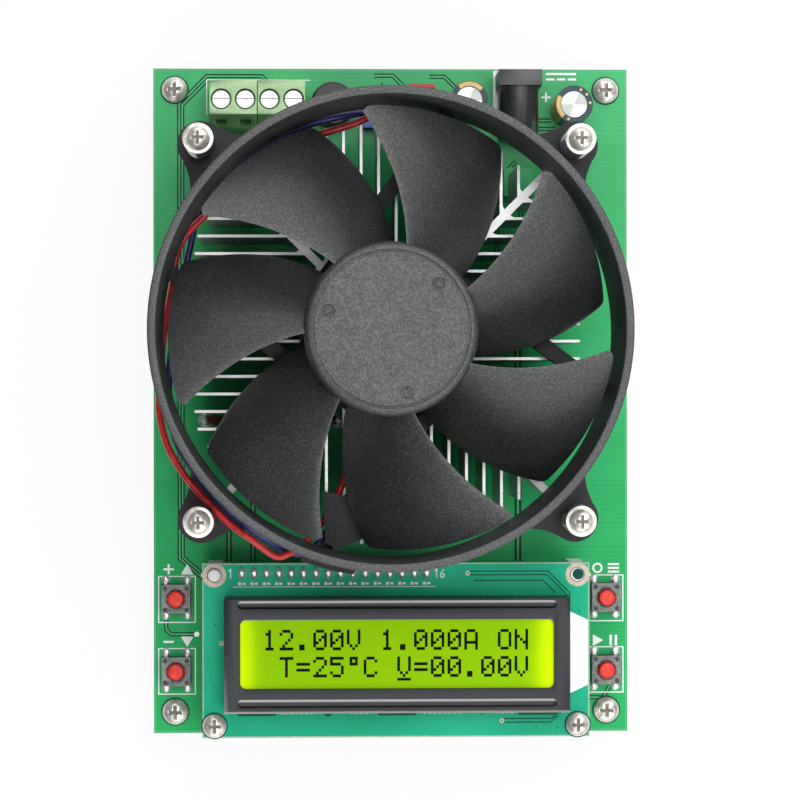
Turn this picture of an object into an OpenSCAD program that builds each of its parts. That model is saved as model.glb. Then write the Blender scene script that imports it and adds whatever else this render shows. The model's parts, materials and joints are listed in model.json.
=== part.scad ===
// DC electronic load. A green circuit board on four feet carries a finned heatsink
// with a fan, a two-line display, four push buttons, a screw terminal and a power jack.
// Millimetres, +Z up, origin on the bench under the middle of the board.

/* [Board] */
// Width of the main board, left to right
board_w = 100; // [96:1:120]
// Length of the main board, front to back
board_l = 140; // [136:1:170]
// Thickness of both circuit boards
board_t = 1.6; // [1.2:0.2:2]
// Height of the feet below the board
foot_h = 10; // [9:1:15]
// Width across the flats of the feet
foot_af = 5.5; // [5:0.5:6]
// Distance of the corner screws from the board edges
corner_inset = 4.5; // [4:0.25:6]

/* [Heatsink] */
// Diameter of the round fin outline
sink_d = 85; // [78:1:86]
// Width across the two flats of the fin outline
sink_flats = 77; // [70:1:80]
// Height of the heatsink
sink_h = 25.4; // [22:0.2:27]
// Spacing of the fins
fin_pitch = 3.5; // [3.2:0.1:4]
// Thickness of a fin
fin_t = 0.55; // [0.4:0.05:1]
// Radius of the solid core
core_r = 13; // [10:0.5:15]
// Thickness of the two diagonal webs
web_t = 1.6; // [1.2:0.2:3]

/* [Fan] */
// Outer diameter of the fan ring
ring_d = 92.4; // [90:0.2:94]
// Wall thickness of the fan ring
ring_t = 1.6; // [1.2:0.2:1.8]
// Height of the fan ring
ring_h = 26; // [24:0.5:28]
// Number of blades
blade_count = 7; // [5:1:7]
// Gap between the blade tips and the ring
tip_gap = 1.9; // [1.5:0.2:3.2]
// Thickness of a blade
blade_t = 1.3; // [1:0.1:1.6]
// Diameter of the hub
hub_d = 33.4; // [30:0.2:36]
// Width of a strut that carries the motor
strut_w = 3; // [2.4:0.2:3.6]
// Side of the square on which the four clamping screws stand
ear_pitch = 74; // [72:0.5:78]
// Radius of the lugs around the clamping screws
ear_r = 4.7; // [4:0.1:6]
// Free height of the pressed springs
spring_h = 12.4; // [11:0.2:14]

/* [Display] */
// Width of the display board
lcd_w = 80; // [76:0.5:82]
// Depth of the display board
lcd_l = 36; // [34:0.5:39]
// Gap between the two boards
lcd_gap = 11; // [10:0.5:13]
// Width of the display frame
bezel_w = 70.6; // [64:0.2:74]
// Depth of the display frame
bezel_l = 23.4; // [21:0.2:26]
// Height of the display frame
bezel_h = 7.4; // [7:0.2:8]
// Width of the display frame beside the window
window_side = 3.3; // [2.4:0.1:5]
// Depth of the display frame before and behind the window
window_end = 4.7; // [3.6:0.1:6]

/* [Controls] */
// Size of the square push switches
switch_w = 6; // [5.6:0.1:6.4]
// Diameter of the red push caps
cap_d = 3.5; // [3.2:0.1:3.6]
// Travel of the push caps
press_travel = 0.25; // [0.2:0.05:0.3]
// Spacing of the two switches on one side
switch_pitch = 15.24; // [14:0.1:16]
// Rise of a wire clamp when its screw is tightened
clamp_travel = 1.5; // [1:0.1:1.5]

/* [Connectors] */
// Spacing of the poles of the screw terminal
pole_pitch = 5; // [4.8:0.04:5.4]
// Height of the screw terminal
term_h = 10; // [9.6:0.2:12]
// Diameter of the socket in the power jack
jack_bore = 6.3; // [6:0.1:6.5]
// Diameter of the pin in the power jack
jack_pin = 2.1; // [2:0.1:2.5]
// Diameter of the two round capacitors
capacitor_d = 7.8; // [7:0.1:8]
// Height of the two round capacitors
capacitor_h = 11.5; // [10:0.5:13]
// Diameter of the insulated fan wires
wire_d = 1.4; // [1.2:0.1:1.5]

/* [Hidden] */
$fn = 64;

eps = 0.01;
// Level of the upper face of the main board
board_top = foot_h + board_t;
// Metric screw of the feet: tapped radius, thread radius, clearance radius
m3_tap = 1.25;
m3_thread = 1.22;
m3_clear = 1.6;
// Heads of the corner and display screws, and their reach into the posts
corner_head_r = 2.7;
corner_head_h = 2;
corner_reach = 2.4;
bore_spare = 0.6;
foot_bore = foot_h - corner_reach - bore_spare - 1;
lcd_head_r = 2.45;
lcd_head_h = 1.8;
lcd_reach = 4;
// Cross-head screws: flat on the dome, depth of the recess, its arms as shares of the head
head_flat = 0.6;
recess_d = 0.9;
recess_l = 1.15;
recess_w = 0.26;
// Soldered pins and their holes
pin_r = 0.45;
pin_hole_r = 0.6;
joint_h = 1.3;
joint_r = 1.05;

corner_x = board_w / 2 - corner_inset;
corner_y = board_l / 2 - corner_inset;
corners = [for (sx = [-1, 1], sy = [-1, 1]) [sx * corner_x, sy * corner_y]];

// Fan axis on the board, and levels counted from the upper face of the board
fan_back = 56.4;
fan_pos = [-1.5, board_l / 2 - fan_back];
transistor_h = 5;
arm_out = 2.4;
// Filled corner between a fin and the web: width along the web's side and height along the fin
fin_root_w = 0.45;
fin_root_h = 1.1;
tab_t = 0.8;
sink_top = transistor_h + sink_h;
ring_z0 = sink_top + 1.6;
ring_top = ring_z0 + ring_h;
ring_r = ring_d / 2;
ring_in_r = ring_r - ring_t;
// Overlap of the pieces that grow out of the ring
ring_bite = 0.4;
ear_t = 3;
ear_top = ring_z0 + ear_t;
leg_gap = 1;
leg_r = 3.4;
ears = [for (sx = [-1, 1], sy = [-1, 1]) [sx * ear_pitch / 2, sy * ear_pitch / 2]];
ear_dist = ear_pitch / sqrt(2);
ear_fillet = 12;
fillet_x = (pow(ring_r + ear_fillet, 2) - pow(ear_r + ear_fillet, 2) + pow(ear_dist, 2)) / (2 * ear_dist);
fillet_y = sqrt(pow(ring_r + ear_fillet, 2) - pow(fillet_x, 2));
shelf_w = 2.4;
shelf_t = 1.6;
cable_tab_z = 1.2;
cable_tab_t = 1.2;
cable_tab_outline = [[-13, -31.5], [-6.4, -33], [-2.6, -34.5], [-5, -41], [-12.4, -44]];
ring_lip = 0.4;
shelf_from = 249;
shelf_to = 262;
notch_angles = [249, 201];
notch_w = 10;
notch_h = 3;

// Motor
base_r = 17.6;
base_top = sink_top + 2.6;
strut_h = 4;
strut_offset = base_r - strut_w / 2 + ring_bite;
strut_angle = 53;
tube_r = 4.2;
bush_r = 2.9;
shaft_r = 1.5;
shaft_lift = 1.4;
base_floor = 1;
bush_gap = 0.04;
fit_gap = 0.02;
tube_h = 13;
tube_top = base_top + tube_h;
motor_board_t = 1;
motor_board_r = 14.8;
motor_board_gap = 0.2;
sensor_at = [7, 6];
sensor_w = 4;
sensor_l = 3;
sensor_h = 1.2;

// Hub and blades
hub_r = hub_d / 2;
hub_top = ring_top - 1;
hub_z0 = base_top + 4.5;
hub_wall = 1.3;
hub_roof = 1.6;
boss_r = 3.4;
boss_gap = 0.8;
shoulder_r = 1.5;
groove_w = 0.6;
groove_d = 0.5;
mark_r = 12.4;
mark_out = 1.25;
mark_in = 0.7;
mark_d = 0.3;
blade_tip_r = ring_in_r - tip_gap;
blade_root_r = hub_r - 0.7;
blade_high = hub_top - 0.9;
blade_low = hub_z0 + 0.8;
blade_sweep = 18;
blade_chord_root = 45.3;
blade_chord_tip = 39.4;
blade_first = -23.5;
blade_rows = 12;
blade_cols = 12;
lead_corner = 1.1;
tail_corner = 0.4;
blade_edge = 0.05;
// Share of the fall that grows towards the trailing edge
blade_camber = 0.45;
yoke_r = hub_r - hub_wall - fit_gap;
yoke_t = 1;
yoke_inset = 0.6;
yoke_hole_r = 4.2;
magnet_t = 1.6;
magnet_h = 11;
magnet_inset = 1;
air_gap = 0.6;
stator_r = yoke_r - yoke_t - fit_gap - magnet_t - air_gap;
stator_z0 = base_top + 6.5;
stator_h = 6;
coil_over = 1.8;
core_ring_r = 6.6;
tooth_w = 3;
shoe_t = 1.3;
coil_gap = 0.1;
coil_in = core_ring_r + 4 * coil_gap;
coil_half = tooth_w / 2 + coil_over;
coil_out = sqrt(pow(stator_r - shoe_t - coil_gap, 2) - coil_half * coil_half);

// Clamping screws
spring_wire = 0.8;
spring_r = 2.6;
spring_turns = 6;
spring_steps = 12;
spring_start = 160;
spring_gap = 0.05;
screw_flange_r = 3;
screw_flange_h = 0.7;
screw_head_r = 2.35;
screw_head_h = 2.2;
screw_over = 1;
clamp_thread = 1.45;
clamp_clear = 1.75;
nut_af = 5.5;
nut_h = 2.4;

// Display, placed from the front edge of the board
lcd_front = 0.5;
lcd_pos = [0.7, -board_l / 2 + lcd_front + lcd_l / 2];
lcd_z = lcd_gap;
lcd_top = lcd_gap + board_t;
lcd_hole_inset = 2.5;
lcd_hole_x = lcd_w / 2 - lcd_hole_inset;
lcd_hole_y = lcd_l / 2 - lcd_hole_inset;
lcd_hole_r = 1.5;
lcd_peg_r = 1.35;
lcd_post_af = 5;
bezel_off = -0.5;
bezel_t = 0.6;
window_w = bezel_w - 2 * window_side;
window_l = bezel_l - 2 * window_end;
window_off = 0.3;
window_corner = 1.2;
bead_side = 2.8;
bead_l = bezel_w - 2 * bead_side;
bead_w = 1.5;
bead_d = 0.35;
bead_end = 1.1;
bead_y = bezel_l / 2 - bead_end;
bead_off = -0.2;
glass_t = 2.2;
glass_margin = 1.2;
light_margin = 0.8;
tab_gap = 0.2;
tab_chamfer = 1.6;
tab_l = 16.6;
tab_w = 3.4;
tab_h = 1.4;
lcd_pin_count = 16;
lcd_pin_pitch = 2.54;
lcd_pin_side = 8.2;
lcd_pin_inset = 2;
lcd_pin_x = lcd_pos.x - lcd_w / 2 + lcd_pin_side;
lcd_pin_y = lcd_pos.y + lcd_l / 2 - lcd_pin_inset;
lcd_pin_r = 0.35;
socket_w = 2.5;
header_h = 2.5;
socket_h = lcd_gap - header_h;
lcd_pin_over = 1.4;
lcd_joint_r = 1;
lcd_joint_h = 1.1;
// Driver blobs under the display board
blob_at = [16, 2];
blob_r = 5.5;
blob_h = 1.3;

// Push switches: positions on the board
switch_side = 4.8;
switch_front = 28.5;
switch_x = board_w / 2 - switch_side;
switch_y = -board_l / 2 + switch_front;
switches = [
    [-switch_x, switch_y], [-switch_x, switch_y - switch_pitch],
    [switch_x, switch_y], [switch_x, switch_y - switch_pitch]
];
switch_h = 3.4;
cover_t = 0.3;
switch_floor = 0.9;
cap_r = cap_d / 2;
cap_top = 5;
cap_gap = 0.35;
dome_h = 0.5;
nub_r = 0.9;
nub_z = switch_floor + dome_h + press_travel + 0.3;
flange_r = cap_r + 0.75;
flange_t = 0.7;
flange_z = switch_h - flange_t;
flange_gap = 0.35;
flange_play = 0.1;
cap_edge = 0.5;
dish_r = 1.35;
dish_up = 1.2;
dome_r = 2.3;
dome_t = 0.12;
post_in = switch_w / 2 - 0.75;
post_r = 0.4;
post_gap = 0.05;
post_over = 0.2;
leg_x = 2.25;
leg_y = 3.25;
leg_w = 0.7;
leg_h = 1.2;

// Screw terminal, placed from the back edge of the board
term_x = -27.9;
term_back_in = 7.5;
term_y = board_l / 2 - term_back_in;
poles = [for (i = [0:3]) term_x + (i - 1.5) * pole_pitch];
term_front = 3.9;
term_back = -6.05;
term_ridge = -3.1;
term_foot_h = 5;
term_gap = 0.15;
well_r = 2.15;
cavity_w = 4.3;
cavity_front = 2;
cavity_back = -3.6;
cage_w = 3.9;
cage_l = 3.4;
cage_wall = 0.55;
cage_z0 = 0.9;
cage_floor = 0.7;
cage_roof_z = 4.95;
ledge_gap = 0.15;
ledge_z0 = cage_roof_z + cage_floor + clamp_travel + ledge_gap;
ledge_t = 0.7;
bar_w = 2.6;
bar_z = 4.2;
bar_t = 0.6;
bar_back = -3.2;
bar_gap = 0.3;
entry_w = 3.4;
entry_z = 1.4;
entry_h = 3;
probe_w = 2.2;
probe_d = 1.2;
driver_r = 1.8;
driver_h = 1.3;
driver_shank = 1.25;
driver_clear = 1.6;
driver_fit = 0.05;
driver_rest = 0.1;
slot_w = 0.6;
slot_d = 0.6;

// Power jack, placed from the back edge of the board
jack_x = 26.7;
jack_in = 1.3;
jack_front_y = board_l / 2 - jack_in;
jack_w = 9;
jack_h = 11;
jack_face_t = 3.3;
jack_l = 14;
jack_z = 6.5;
jack_barrel_r = 4;
jack_bore_l = 9.6;
jack_pin_tip = 0.7;
jack_root_r = 1.6;
jack_back = 13.5;
leaf_t = 0.3;
leaf_w = 2;
leaf_leg = 6.4;
leaf_from = 8.6;
leaf_l = 6.2;
leaf_gap = 0.4;
leaf_under = 0.4;
// Slot for the rear contact and its blade
rear_slot_w = 2.6;
rear_slot_l = 1.2;
rear_slot_up = 2;
rear_w = 2;
rear_up = 0.6;
jack_step = 1;
jack_pins = [[jack_x, jack_front_y - jack_back + bar_t / 2], [jack_x, jack_front_y - leaf_leg]];

// Round capacitors, buzzer, fan connector and contrast trimmer
capacitors = [[37.8, board_l / 2 - 8.6], [16, board_l / 2 - 7.7]];
capacitor_lead = 1.75;
sleeve_t = 0.3;
sleeve_lip = 1.2;
vent_l = 4.4;
vent_w = 0.25;
vent_d = 0.15;
buzzer_pos = [-12.2, board_l / 2 - 7.9];
buzzer_r = 4.6;
buzzer_h = 5.5;
buzzer_lead = 2;
buzzer_rim = 0.5;
buzzer_hole_r = 0.9;
buzzer_hole_d = 1.2;
plug_pos = [6.35, board_l / 2 - 6.9];
plug_w = 5.4;
plug_l = 5.6;
plug_h = 8;
plug_lead = 1.27;
plug_base = 3;
plug_wire = 1;
plug_lip = 0.8;
plug_lip_up = 0.6;
plug_side = 0.2;
plug_end = 1;
plug_shift = 0.3;
plug_row = 0.4;
plug_fit = 0.15;
trimmer_pos = [-2.6, board_l / 2 - 9.5];
trimmer_w = 6.4;
trimmer_h = 3.6;
trimmer_rotor_r = 2.1;
trimmer_gap = 0.35;
trimmer_shaft_r = 0.9;
trimmer_lead = 2.2;
trimmer_well_z = 2;
trimmer_play = 0.1;
trimmer_shaft_z = 0.6;
trimmer_over = 0.4;
cross_l = 2.8;
cross_w = 0.7;
cross_d = 0.7;

// Control chips, with the dot at their first pin
dot_inset = 1;
dot_r = 0.4;
dot_d = 0.1;
processor_at = [-4.7, -3];
processor_w = 10;
processor_h = 1.5;
amplifier_at = [17.3, -2];
amplifier_w = 5;
amplifier_l = 4;
amplifier_h = 1.6;
regulator_in = 24;
regulator_at = [27, board_l / 2 - regulator_in];
regulator_w = 6.5;
regulator_l = 6;
regulator_h = 2.3;

// Power transistor and current shunt
transistor_w = 15.9;
transistor_l = 20.8;
transistor_y = fan_pos.y - 9;
transistor_pitch = 5.45;
side_cut_y = 6;
side_cut_r = 1.6;
heat_tab_y = 11.5;
heat_tab_w = 13.4;
heat_tab_l = 17;
lead_w = 1.2;
lead_t = 0.6;
lead_z = 2.2;
lead_out = 4.6;
lead_foot = 0.4;
shunt_out = 37.5;
shunt_in = 9.5;
shunt_back = 17.7;
shunt_y = fan_pos.y - shunt_back;
shunt_ends = [[fan_pos.x - shunt_out, shunt_y], [fan_pos.x - shunt_in, shunt_y]];
shunt_r = 0.9;
shunt_z = 2.6;
shunt_bend = 1.5;
shunt_gap = 0.15;
shunt_joint_r = 2;

// Every soldered pin of the main board
lcd_pin_list = [for (i = [0:lcd_pin_count - 1]) [lcd_pin_x + i * lcd_pin_pitch, lcd_pin_y]];
switch_pin_list = [for (s = switches, sx = [-1, 1], sy = [-1, 1]) s + [sx * leg_x, sy * leg_y]];
pole_pin_list = [for (x = poles) [x, term_y + bar_back]];
transistor_pin_list = [
    for (i = [-1:1]) [fan_pos.x + i * transistor_pitch, transistor_y - lead_out]
];
loose_pin_list = concat(
    [for (c = capacitors, s = [-1, 1]) c + [s * capacitor_lead, 0]],
    [for (s = [-1, 1]) buzzer_pos + [s * buzzer_lead, 0]],
    [for (s = [-1, 1]) plug_pos + [s * plug_lead, 0]],
    [for (s = [-1:1]) trimmer_pos + [s * trimmer_lead, s == 0 ? trimmer_lead : -trimmer_lead]]
);
pin_list = concat(
    lcd_pin_list, switch_pin_list, pole_pin_list, transistor_pin_list, loose_pin_list, jack_pins
);

// Fan wires: points of the route from the fan axis, levels above the board
wire_r = wire_d / 2;
wire_sides = 8;
wire_steps = 2;
lie_z = sink_top + wire_r + 0.1;
shelf_z = ear_top + wire_r + 0.1;
low_z = ring_z0 - wire_r - 1.75;
plug_at = plug_pos - fan_pos;
// Drop of the leads from the heatsink towards the plug, and how far they rise straight above it
lead_drop = 12;
lead_rise = 7;
red_route = [
    [-5, -12.5, base_top + 1.9], [-6.5, -18, base_top + 1.9], [-8, -24, lie_z + 0.4],
    [-9, -30, lie_z], [-12.6, -37, lie_z], [-16.5, -42, lie_z], [-19.5, -43.8, lie_z + 1.9],
    [-22.4, -44.4, lie_z + 2.6], [-27, -41, shelf_z + 0.1], [-31.4, -37.8, shelf_z],
    [-35.6, -33.7, shelf_z], [-40.1, -28.5, shelf_z], [-43.7, -22.3, shelf_z - 0.8],
    [-45.4, -15.6, lie_z + 1.2], [-45.4, -9, low_z], [-44.6, 0, low_z], [-43, 9, low_z],
    [-41.4, 17.4, low_z], [-36, 23.6, lie_z], [-29.4, 29.6, lie_z], [-22.4, 35, lie_z],
    [-14.8, 38.9, lie_z], [-7.1, 41.4, lie_z], [-3.2, 43, lie_z - 0.1], [1.8, 44.3, lie_z - 4],
    [7.2, 45.2, lie_z - lead_drop],
    [plug_at.x + plug_wire, plug_at.y - 1, plug_h + lead_rise],
    [plug_at.x + plug_wire, plug_at.y - plug_row, plug_h - 1]
];
blue_route = [
    [-3, -13, base_top + 1.9], [-4.5, -18.5, base_top + 1.9], [-6, -24.4, lie_z + 0.4],
    [-7, -30.5, lie_z], [-11.1, -38, lie_z], [-15.3, -43.4, lie_z], [-19.9, -43.7, lie_z + 0.1],
    [-26.2, -39.6, lie_z + 4.7], [-30.2, -36.4, shelf_z], [-34.2, -32.6, shelf_z], [-38.2, -27.6, shelf_z],
    [-41.9, -21.6, shelf_z - 0.8], [-43.4, -15.2, lie_z + 0.4], [-43.6, -9, low_z], [-42.8, 0, low_z],
    [-41.3, 8.4, low_z], [-39.6, 16.4, low_z - 0.9], [-37.5, 24.4, low_z - 0.6], [-31.6, 31.8, lie_z],
    [-24.2, 37.2, lie_z], [-16, 41.2, lie_z], [-7.4, 43.4, lie_z - 0.6], [0.4, 44.8, lie_z - 5],
    [5, 46.8, lie_z - lead_drop], [plug_at.x - plug_wire, plug_at.y - 1, plug_h + lead_rise],
    [plug_at.x - plug_wire, plug_at.y - plug_row, plug_h - 1]
];

// Point on the smooth curve through a route
function spline(p, i, t) =
    let (
        a = p[max(i - 1, 0)],
        b = p[i],
        c = p[min(i + 1, len(p) - 1)],
        d = p[min(i + 2, len(p) - 1)]
    )
    0.5 * (2 * b + (c - a) * t + (2 * a - 5 * b + 4 * c - d) * t * t + (3 * b - a - 3 * c + d) * t * t * t);
function smooth(p, steps) = concat(
    [for (i = [0:len(p) - 2], k = [0:steps - 1]) spline(p, i, k / steps)],
    [p[len(p) - 1]]
);
function unit(v) = v / norm(v);
function heading(p, i) = unit(p[min(i + 1, len(p) - 1)] - p[max(i - 1, 0)]);
function ring_points(c, t, r, sides, side) =
    let (n = unit(cross(t, side)), m = cross(n, t))
    [for (k = [0:sides - 1]) c + r * (n * cos(k * 360 / sides) + m * sin(k * 360 / sides))];

module tube(path, r, sides, side) {
    count = len(path);
    rings = [for (i = [0:count - 1]) ring_points(path[i], heading(path, i), r, sides, side)];
    points = [for (g = rings) each g];
    walls = [
        for (i = [0:count - 2], k = [0:sides - 1])
        let (n = (k + 1) % sides)
        each [
            [i * sides + k, i * sides + n, (i + 1) * sides + k],
            [i * sides + n, (i + 1) * sides + n, (i + 1) * sides + k]
        ]
    ];
    first = [for (k = [sides - 1:-1:0]) k];
    last = [for (k = [0:sides - 1]) (count - 1) * sides + k];
    polyhedron(points = points, faces = concat(walls, [first], [last]));
}

module on_board(p = [0, 0]) {
    translate([p.x, p.y, board_top]) children();
}

module on_fan() {
    on_board(fan_pos) children();
}

module hexagon(af, h) {
    cylinder(d = af / cos(30), h = h, $fn = 6);
}

module pipe(r_out, r_in, h) {
    difference() {
        cylinder(r = r_out, h = h);
        translate([0, 0, -1]) cylinder(r = r_in, h = h + 2);
    }
}

module block(w, l, h) {
    translate([-w / 2, -l / 2, 0]) cube([w, l, h]);
}

// Domed screw head with a cross recess, standing on z = 0
module pan_head(r, h) {
    dome = (r * r + h * h) / (2 * h) + head_flat;
    difference() {
        intersection() {
            cylinder(r = r, h = h);
            translate([0, 0, h - dome]) sphere(r = dome);
        }
        for (a = [0, 90]) rotate(a) translate([0, 0, h - recess_d]) block(r * recess_l, r * recess_w, 2);
    }
}

module main_board() {
    color("seagreen")
    difference() {
        translate([0, 0, foot_h]) block(board_w, board_l, board_t);
        for (p = corners) translate([p.x, p.y, 0]) cylinder(r = m3_clear, h = board_top + 1);
        for (p = ears) translate([p.x + fan_pos.x, p.y + fan_pos.y, 0])
        cylinder(r = clamp_clear, h = board_top + 1);
        for (s = [-1, 1]) {
            translate([lcd_pos.x + s * lcd_hole_x, lcd_pos.y - lcd_hole_y, 0])
            cylinder(r = m3_clear, h = board_top + 1);
        }
        for (p = pin_list) translate([p.x, p.y, foot_h - 1])
        cylinder(r = pin_hole_r, h = board_t + 2, $fn = 16);
        for (p = shunt_ends) translate([p.x, p.y, foot_h - 1])
        cylinder(r = shunt_r + shunt_gap, h = board_t + 2);
    }
}

module solder_joints() {
    color("silver") {
        for (p = pin_list) {
            translate([p.x, p.y, foot_h - joint_h])
            cylinder(r1 = pin_r, r2 = joint_r, h = joint_h, $fn = 16);
        }
        for (p = shunt_ends) {
            translate([p.x, p.y, foot_h - joint_h])
            cylinder(r1 = shunt_r, r2 = shunt_joint_r, h = joint_h);
        }
    }
}

module board_feet() {
    color("goldenrod")
    for (p = corners) {
        translate([p.x, p.y, 0])
        difference() {
            hexagon(foot_af, foot_h);
            translate([0, 0, -1]) cylinder(r = m3_tap, h = foot_bore + 1);
            translate([0, 0, foot_h - corner_reach - bore_spare])
            cylinder(r = m3_tap, h = foot_h);
        }
    }
}

module board_screws() {
    color("silver")
    for (p = corners) {
        on_board(p) {
            pan_head(corner_head_r, corner_head_h);
            translate([0, 0, -board_t - corner_reach])
            cylinder(r = m3_thread, h = board_t + corner_reach + eps);
        }
    }
}

module chip(w, l, h) {
    difference() {
        block(w, l, h);
        translate([-w / 2 + dot_inset, l / 2 - dot_inset, h - dot_d]) cylinder(r = dot_r, h = 1);
    }
}

module control_chips() {
    color("dimgray") {
        on_board(lcd_pos + processor_at) chip(processor_w, processor_w, processor_h);
        on_board(lcd_pos + amplifier_at) chip(amplifier_w, amplifier_l, amplifier_h);
        on_board(regulator_at) chip(regulator_w, regulator_l, regulator_h);
    }
}

module component_leads() {
    color("silver")
    for (p = loose_pin_list) translate([p.x, p.y, foot_h]) cylinder(r = pin_r, h = board_t, $fn = 16);
}

module fin_root() {
    corner = web_t / sqrt(2);
    translate([fin_t / 2 - eps, fin_t / 2 + corner - 2 * eps])
    polygon([[0, 0], [fin_root_w, fin_root_w], [0, fin_root_h]]);
}

// One quarter of the fins: upright fins above the two diagonals
module fin_quarter(limit) {
    fins = floor(sink_d / 2 / sqrt(2) / fin_pitch);
    for (i = [-fins:fins - 1]) {
        x = (i + 0.5) * fin_pitch;
        tip = min(limit, sqrt(pow(sink_d / 2, 2) - x * x));
        translate([x - fin_t / 2, abs(x)]) square([fin_t, tip - abs(x)]);
        translate([x, abs(x)]) mirror([x < 0 ? 1 : 0, 0]) fin_root();
    }
}

module sink_outline() {
    arm = sink_d / 2 + arm_out;
    circle(core_r);
    for (a = [45, 135]) rotate(a) square([2 * arm, web_t], center = true);
    for (a = [0, 180]) rotate(a) fin_quarter(sink_d / 2);
    for (a = [90, 270]) rotate(a) fin_quarter(sink_flats / 2);
}

module heatsink() {
    color("gainsboro")
    on_fan()
    translate([0, 0, transistor_h]) linear_extrude(sink_h) sink_outline();
}

module power_transistor() {
    color("#222222")
    on_board([fan_pos.x, transistor_y + transistor_l / 2])
    difference() {
        block(transistor_w, transistor_l, transistor_h - tab_t);
        for (s = [-1, 1]) {
            translate([s * transistor_w / 2, transistor_l / 2 - side_cut_y, -1])
            cylinder(r = side_cut_r, h = transistor_h + 1);
        }
    }
}

module transistor_leads() {
    color("silver") {
        on_board([fan_pos.x, transistor_y + heat_tab_y])
        translate([0, 0, transistor_h - tab_t]) block(heat_tab_w, heat_tab_l, tab_t);
        for (p = transistor_pin_list) {
            on_board(p) {
                translate([-lead_w / 2, -lead_t / 2, lead_z]) cube([lead_w, lead_out + lead_t / 2, lead_t]);
                translate([-lead_w / 2, -lead_t / 2, lead_foot])
                cube([lead_w, lead_t, lead_z - lead_foot + eps]);
                translate([0, 0, -board_t]) cylinder(r = pin_r, h = board_t + lead_foot + eps, $fn = 16);
            }
        }
    }
}

module shunt_wire() {
    span = shunt_ends[1].x - shunt_ends[0].x;
    color("sienna")
    on_board(shunt_ends[0]) {
        for (x = [0, span]) translate([x, 0, -board_t])
        cylinder(r = shunt_r, h = board_t + shunt_z - shunt_bend);
        translate([shunt_bend, 0, shunt_z]) rotate([0, 90, 0])
        cylinder(r = shunt_r, h = span - 2 * shunt_bend);
        translate([shunt_bend, 0, shunt_z - shunt_bend]) rotate([90, 0, 0]) shunt_corner(90);
        translate([span - shunt_bend, 0, shunt_z - shunt_bend]) rotate([90, 0, 0]) shunt_corner(0);
    }
}

module shunt_corner(from) {
    rotate(from) rotate_extrude(angle = 90) translate([shunt_bend, 0]) circle(shunt_r);
}

// Lug with its two concave fillets, seen along +X from the fan axis
module ear_outline() {
    difference() {
        union() {
            translate([ear_dist, 0]) circle(ear_r);
            polygon([
                [ring_in_r + ring_bite, -fillet_y], [fillet_x, -fillet_y],
                [fillet_x, fillet_y], [ring_in_r + ring_bite, fillet_y]
            ]);
        }
        for (s = [-1, 1]) translate([fillet_x, s * fillet_y]) circle(ear_fillet);
        translate([ear_dist, -fillet_y]) difference() {
            square([ear_fillet, 2 * fillet_y]);
            translate([0, fillet_y]) circle(ear_r);
        }
        circle(ring_in_r + ring_bite);
    }
}

module ring_profile() {
    polygon([
        [ring_in_r, ring_z0], [ring_r, ring_z0], [ring_r, ring_top - ring_lip],
        [ring_r - ring_lip, ring_top], [ring_in_r + ring_lip / 2, ring_top],
        [ring_in_r, ring_top - ring_lip / 2]
    ]);
}

module shelf() {
    translate([0, 0, ring_z0]) rotate(shelf_from)
    rotate_extrude(angle = shelf_to - shelf_from)
    translate([ring_in_r + ring_bite, 0]) square([ring_t + shelf_w - ring_bite, shelf_t]);
}

module cable_tab() {
    translate([0, 0, ring_z0 + cable_tab_z]) linear_extrude(cable_tab_t)
    intersection() {
        polygon(cable_tab_outline);
        circle(ring_in_r + ring_bite);
    }
}

module struts() {
    intersection() {
        for (a = [strut_angle:90:strut_angle + 270]) {
            rotate(a) translate([strut_offset - strut_w / 2, -ring_r, sink_top])
            cube([strut_w, ring_r, strut_h]);
        }
        cylinder(r = ring_in_r + ring_bite, h = ring_top);
    }
}

module fan_frame() {
    color("#2b2b2d")
    on_fan()
    difference() {
        union() {
            rotate_extrude($fn = 128) ring_profile();
            for (a = [45:90:315]) rotate(a) translate([0, 0, ring_z0]) linear_extrude(ear_t) ear_outline();
            for (p = ears) translate([p.x, p.y, leg_gap]) cylinder(r = leg_r, h = ear_top - leg_gap);
            shelf();
            cable_tab();
            struts();
            translate([0, 0, sink_top]) cylinder(r = base_r, h = base_top - sink_top);
            translate([0, 0, base_top - eps]) cylinder(r = tube_r, h = tube_top - base_top + eps);
        }
        for (p = ears) translate([p.x, p.y, 0]) cylinder(r = clamp_clear, h = ring_top);
        translate([0, 0, sink_top + base_floor]) cylinder(r = bush_r, h = ring_top);
        for (a = notch_angles) {
            rotate(a) translate([ring_in_r - 1, -notch_w / 2, ring_z0 - 1])
            cube([ring_t + 1.2, notch_w, notch_h + 1]);
        }
    }
}

module hub_profile() {
    difference() {
        union() {
            translate([0, hub_z0]) square([hub_r - shoulder_r, hub_top - hub_z0]);
            translate([0, hub_z0]) square([hub_r, hub_top - shoulder_r - hub_z0]);
            translate([hub_r - shoulder_r, hub_top - shoulder_r]) circle(shoulder_r);
        }
        translate([hub_r - shoulder_r - groove_w, hub_top - groove_d]) square([groove_w, groove_d + 1]);
        translate([boss_r, hub_z0 - 1]) square([hub_r - hub_wall - boss_r, hub_top - hub_roof - hub_z0 + 1]);
        translate([0, hub_z0 - 1]) square([boss_r + eps, tube_top + boss_gap - hub_z0 + 1]);
        square([shaft_r + fit_gap, hub_top - hub_roof]);
    }
}

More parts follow.
